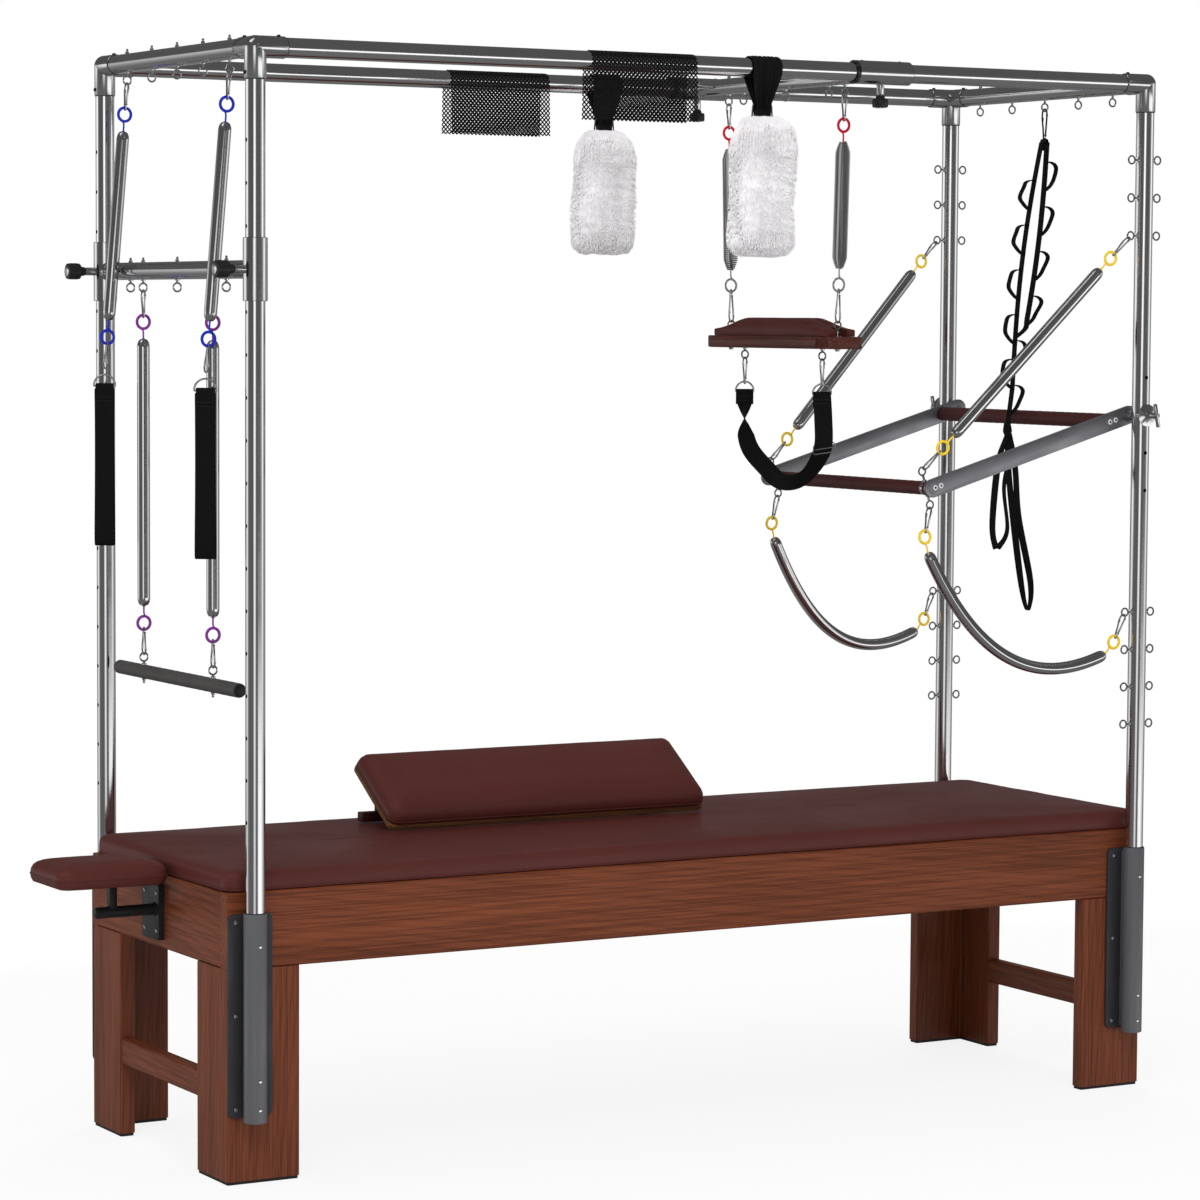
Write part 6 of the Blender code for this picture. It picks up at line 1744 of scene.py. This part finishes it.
class PieceStep:
    """Runs one builder and stops with a plain message if it makes nothing."""
    bl_options = {"REGISTER", "UNDO"}
    work = None

    def execute(self, context):
        if not type(self).work():
            self.report({"ERROR"}, self.bl_label + " could not be finished")
            return {"CANCELLED"}
        return {"FINISHED"}


class TRAPEZE_OT_stage(PieceStep, bpy.types.Operator):
    """Camera, pale floor, softboxes and lamps"""
    bl_idname = "trapeze.stage"
    bl_label = "Stage"
    work = staticmethod(build_stage)


class TRAPEZE_OT_woodwork(PieceStep, bpy.types.Operator):
    """Walnut legs, rails and stretchers"""
    bl_idname = "trapeze.woodwork"
    bl_label = "Woodwork"
    work = staticmethod(build_woodwork)


class TRAPEZE_OT_mattress(PieceStep, bpy.types.Operator):
    """Leather mattress with its welt"""
    bl_idname = "trapeze.mattress"
    bl_label = "Mattress"
    work = staticmethod(build_mattress)


class TRAPEZE_OT_headrest(PieceStep, bpy.types.Operator):
    """Leather headrest on its bracket and peg"""
    bl_idname = "trapeze.headrest"
    bl_label = "Headrest"
    work = staticmethod(build_headrest)


class TRAPEZE_OT_cushion(PieceStep, bpy.types.Operator):
    """Tilted cushion with its board and prop"""
    bl_idname = "trapeze.cushion"
    bl_label = "Tilted cushion"
    work = staticmethod(build_cushion)


class TRAPEZE_OT_sockets(PieceStep, bpy.types.Operator):
    """Grey sockets that hold the posts"""
    bl_idname = "trapeze.sockets"
    bl_label = "Sockets"
    work = staticmethod(build_sockets)


class TRAPEZE_OT_posts(PieceStep, bpy.types.Operator):
    """Steel posts with their pin holes and eyes"""
    bl_idname = "trapeze.posts"
    bl_label = "Posts"
    work = staticmethod(build_posts)


class TRAPEZE_OT_end_frames(PieceStep, bpy.types.Operator):
    """Cross tubes, corner fittings, long tubes and eyes"""
    bl_idname = "trapeze.end_frames"
    bl_label = "End frames"
    work = staticmethod(build_end_frames)


class TRAPEZE_OT_lower_bar(PieceStep, bpy.types.Operator):
    """Sliding lower crossbar with its two plungers"""
    bl_idname = "trapeze.lower_bar"
    bl_label = "Lower crossbar"
    work = staticmethod(build_lower_bar)


class TRAPEZE_OT_top_bar(PieceStep, bpy.types.Operator):
    """Sliding top crossbar with its two plungers"""
    bl_idname = "trapeze.top_bar"
    bl_label = "Top crossbar"
    work = staticmethod(build_top_bar)


class TRAPEZE_OT_push_bar(PieceStep, bpy.types.Operator):
    """Push bar arms, rolls and T handles"""
    bl_idname = "trapeze.push_bar"
    bl_label = "Push bar"
    work = staticmethod(build_push_bar)


class TRAPEZE_OT_springs(PieceStep, bpy.types.Operator):
    """All ten springs with their hooks and coloured rings"""
    bl_idname = "trapeze.springs"
    bl_label = "Springs"
    work = staticmethod(build_springs)


class TRAPEZE_OT_hand_loops(PieceStep, bpy.types.Operator):
    """Webbing hand loops on the arm springs"""
    bl_idname = "trapeze.hand_loops"
    bl_label = "Hand loops"
    work = staticmethod(build_hand_loops)


class TRAPEZE_OT_roll_bar(PieceStep, bpy.types.Operator):
    """Padded roll-down bar"""
    bl_idname = "trapeze.roll_bar"
    bl_label = "Roll-down bar"
    work = staticmethod(build_roll_bar)


class TRAPEZE_OT_trapeze(PieceStep, bpy.types.Operator):
    """Trapeze board, pad and strap"""
    bl_idname = "trapeze.trapeze"
    bl_label = "Trapeze"
    work = staticmethod(build_trapeze)


class TRAPEZE_OT_ladder(PieceStep, bpy.types.Operator):
    """Webbing ladder of sewn loops"""
    bl_idname = "trapeze.ladder"
    bl_label = "Ladder strap"
    work = staticmethod(build_ladder)


class TRAPEZE_OT_slings(PieceStep, bpy.types.Operator):
    """Fleece slings on gathered webbing"""
    bl_idname = "trapeze.slings"
    bl_label = "Fleece slings"
    work = staticmethod(build_slings)


class TRAPEZE_OT_covers(PieceStep, bpy.types.Operator):
    """Net covers draped over the long tubes"""
    bl_idname = "trapeze.covers"
    bl_label = "Net covers"
    work = staticmethod(build_covers)


STEPS = (TRAPEZE_OT_stage, TRAPEZE_OT_woodwork, TRAPEZE_OT_mattress, TRAPEZE_OT_headrest, TRAPEZE_OT_cushion,
         TRAPEZE_OT_sockets, TRAPEZE_OT_posts, TRAPEZE_OT_end_frames, TRAPEZE_OT_lower_bar, TRAPEZE_OT_top_bar,
         TRAPEZE_OT_push_bar, TRAPEZE_OT_springs, TRAPEZE_OT_hand_loops, TRAPEZE_OT_roll_bar, TRAPEZE_OT_trapeze,
         TRAPEZE_OT_ladder, TRAPEZE_OT_slings, TRAPEZE_OT_covers)


class TRAPEZE_PT_pieces(bpy.types.Panel):
    """Lists the pieces and their settings"""
    bl_idname = "TRAPEZE_PT_pieces"
    bl_label = "Trapeze Table"
    bl_space_type = "VIEW_3D"
    bl_region_type = "UI"
    bl_category = "Trapeze Table"

    def draw(self, context):
        column = self.layout.column(align=True)
        finish = context.scene.trapeze_finish
        for name in ("steel", "walnut", "leather", "ring_blue", "ring_purple", "ring_red", "ring_yellow", "net_pitch",
                     "tuft"):
            column.prop(finish, name)
        for step in STEPS:
            column.operator(step.bl_idname)


CLASSES = (TrapezeFinish, *STEPS, TRAPEZE_PT_pieces)


def register():
    for entry in CLASSES:
        bpy.utils.register_class(entry)
    bpy.types.Scene.trapeze_finish = bpy.props.PointerProperty(type=TrapezeFinish)


def unregister():
    del bpy.types.Scene.trapeze_finish
    for entry in reversed(CLASSES):
        bpy.utils.unregister_class(entry)


def main():
    register()
    for step in STEPS:
        group, name = step.bl_idname.split(".")
        result = getattr(getattr(bpy.ops, group), name)()
        if result != {"FINISHED"}:
            raise RuntimeError(step.bl_label + " was not finished")
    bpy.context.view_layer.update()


if __name__ == "__main__":
    main()
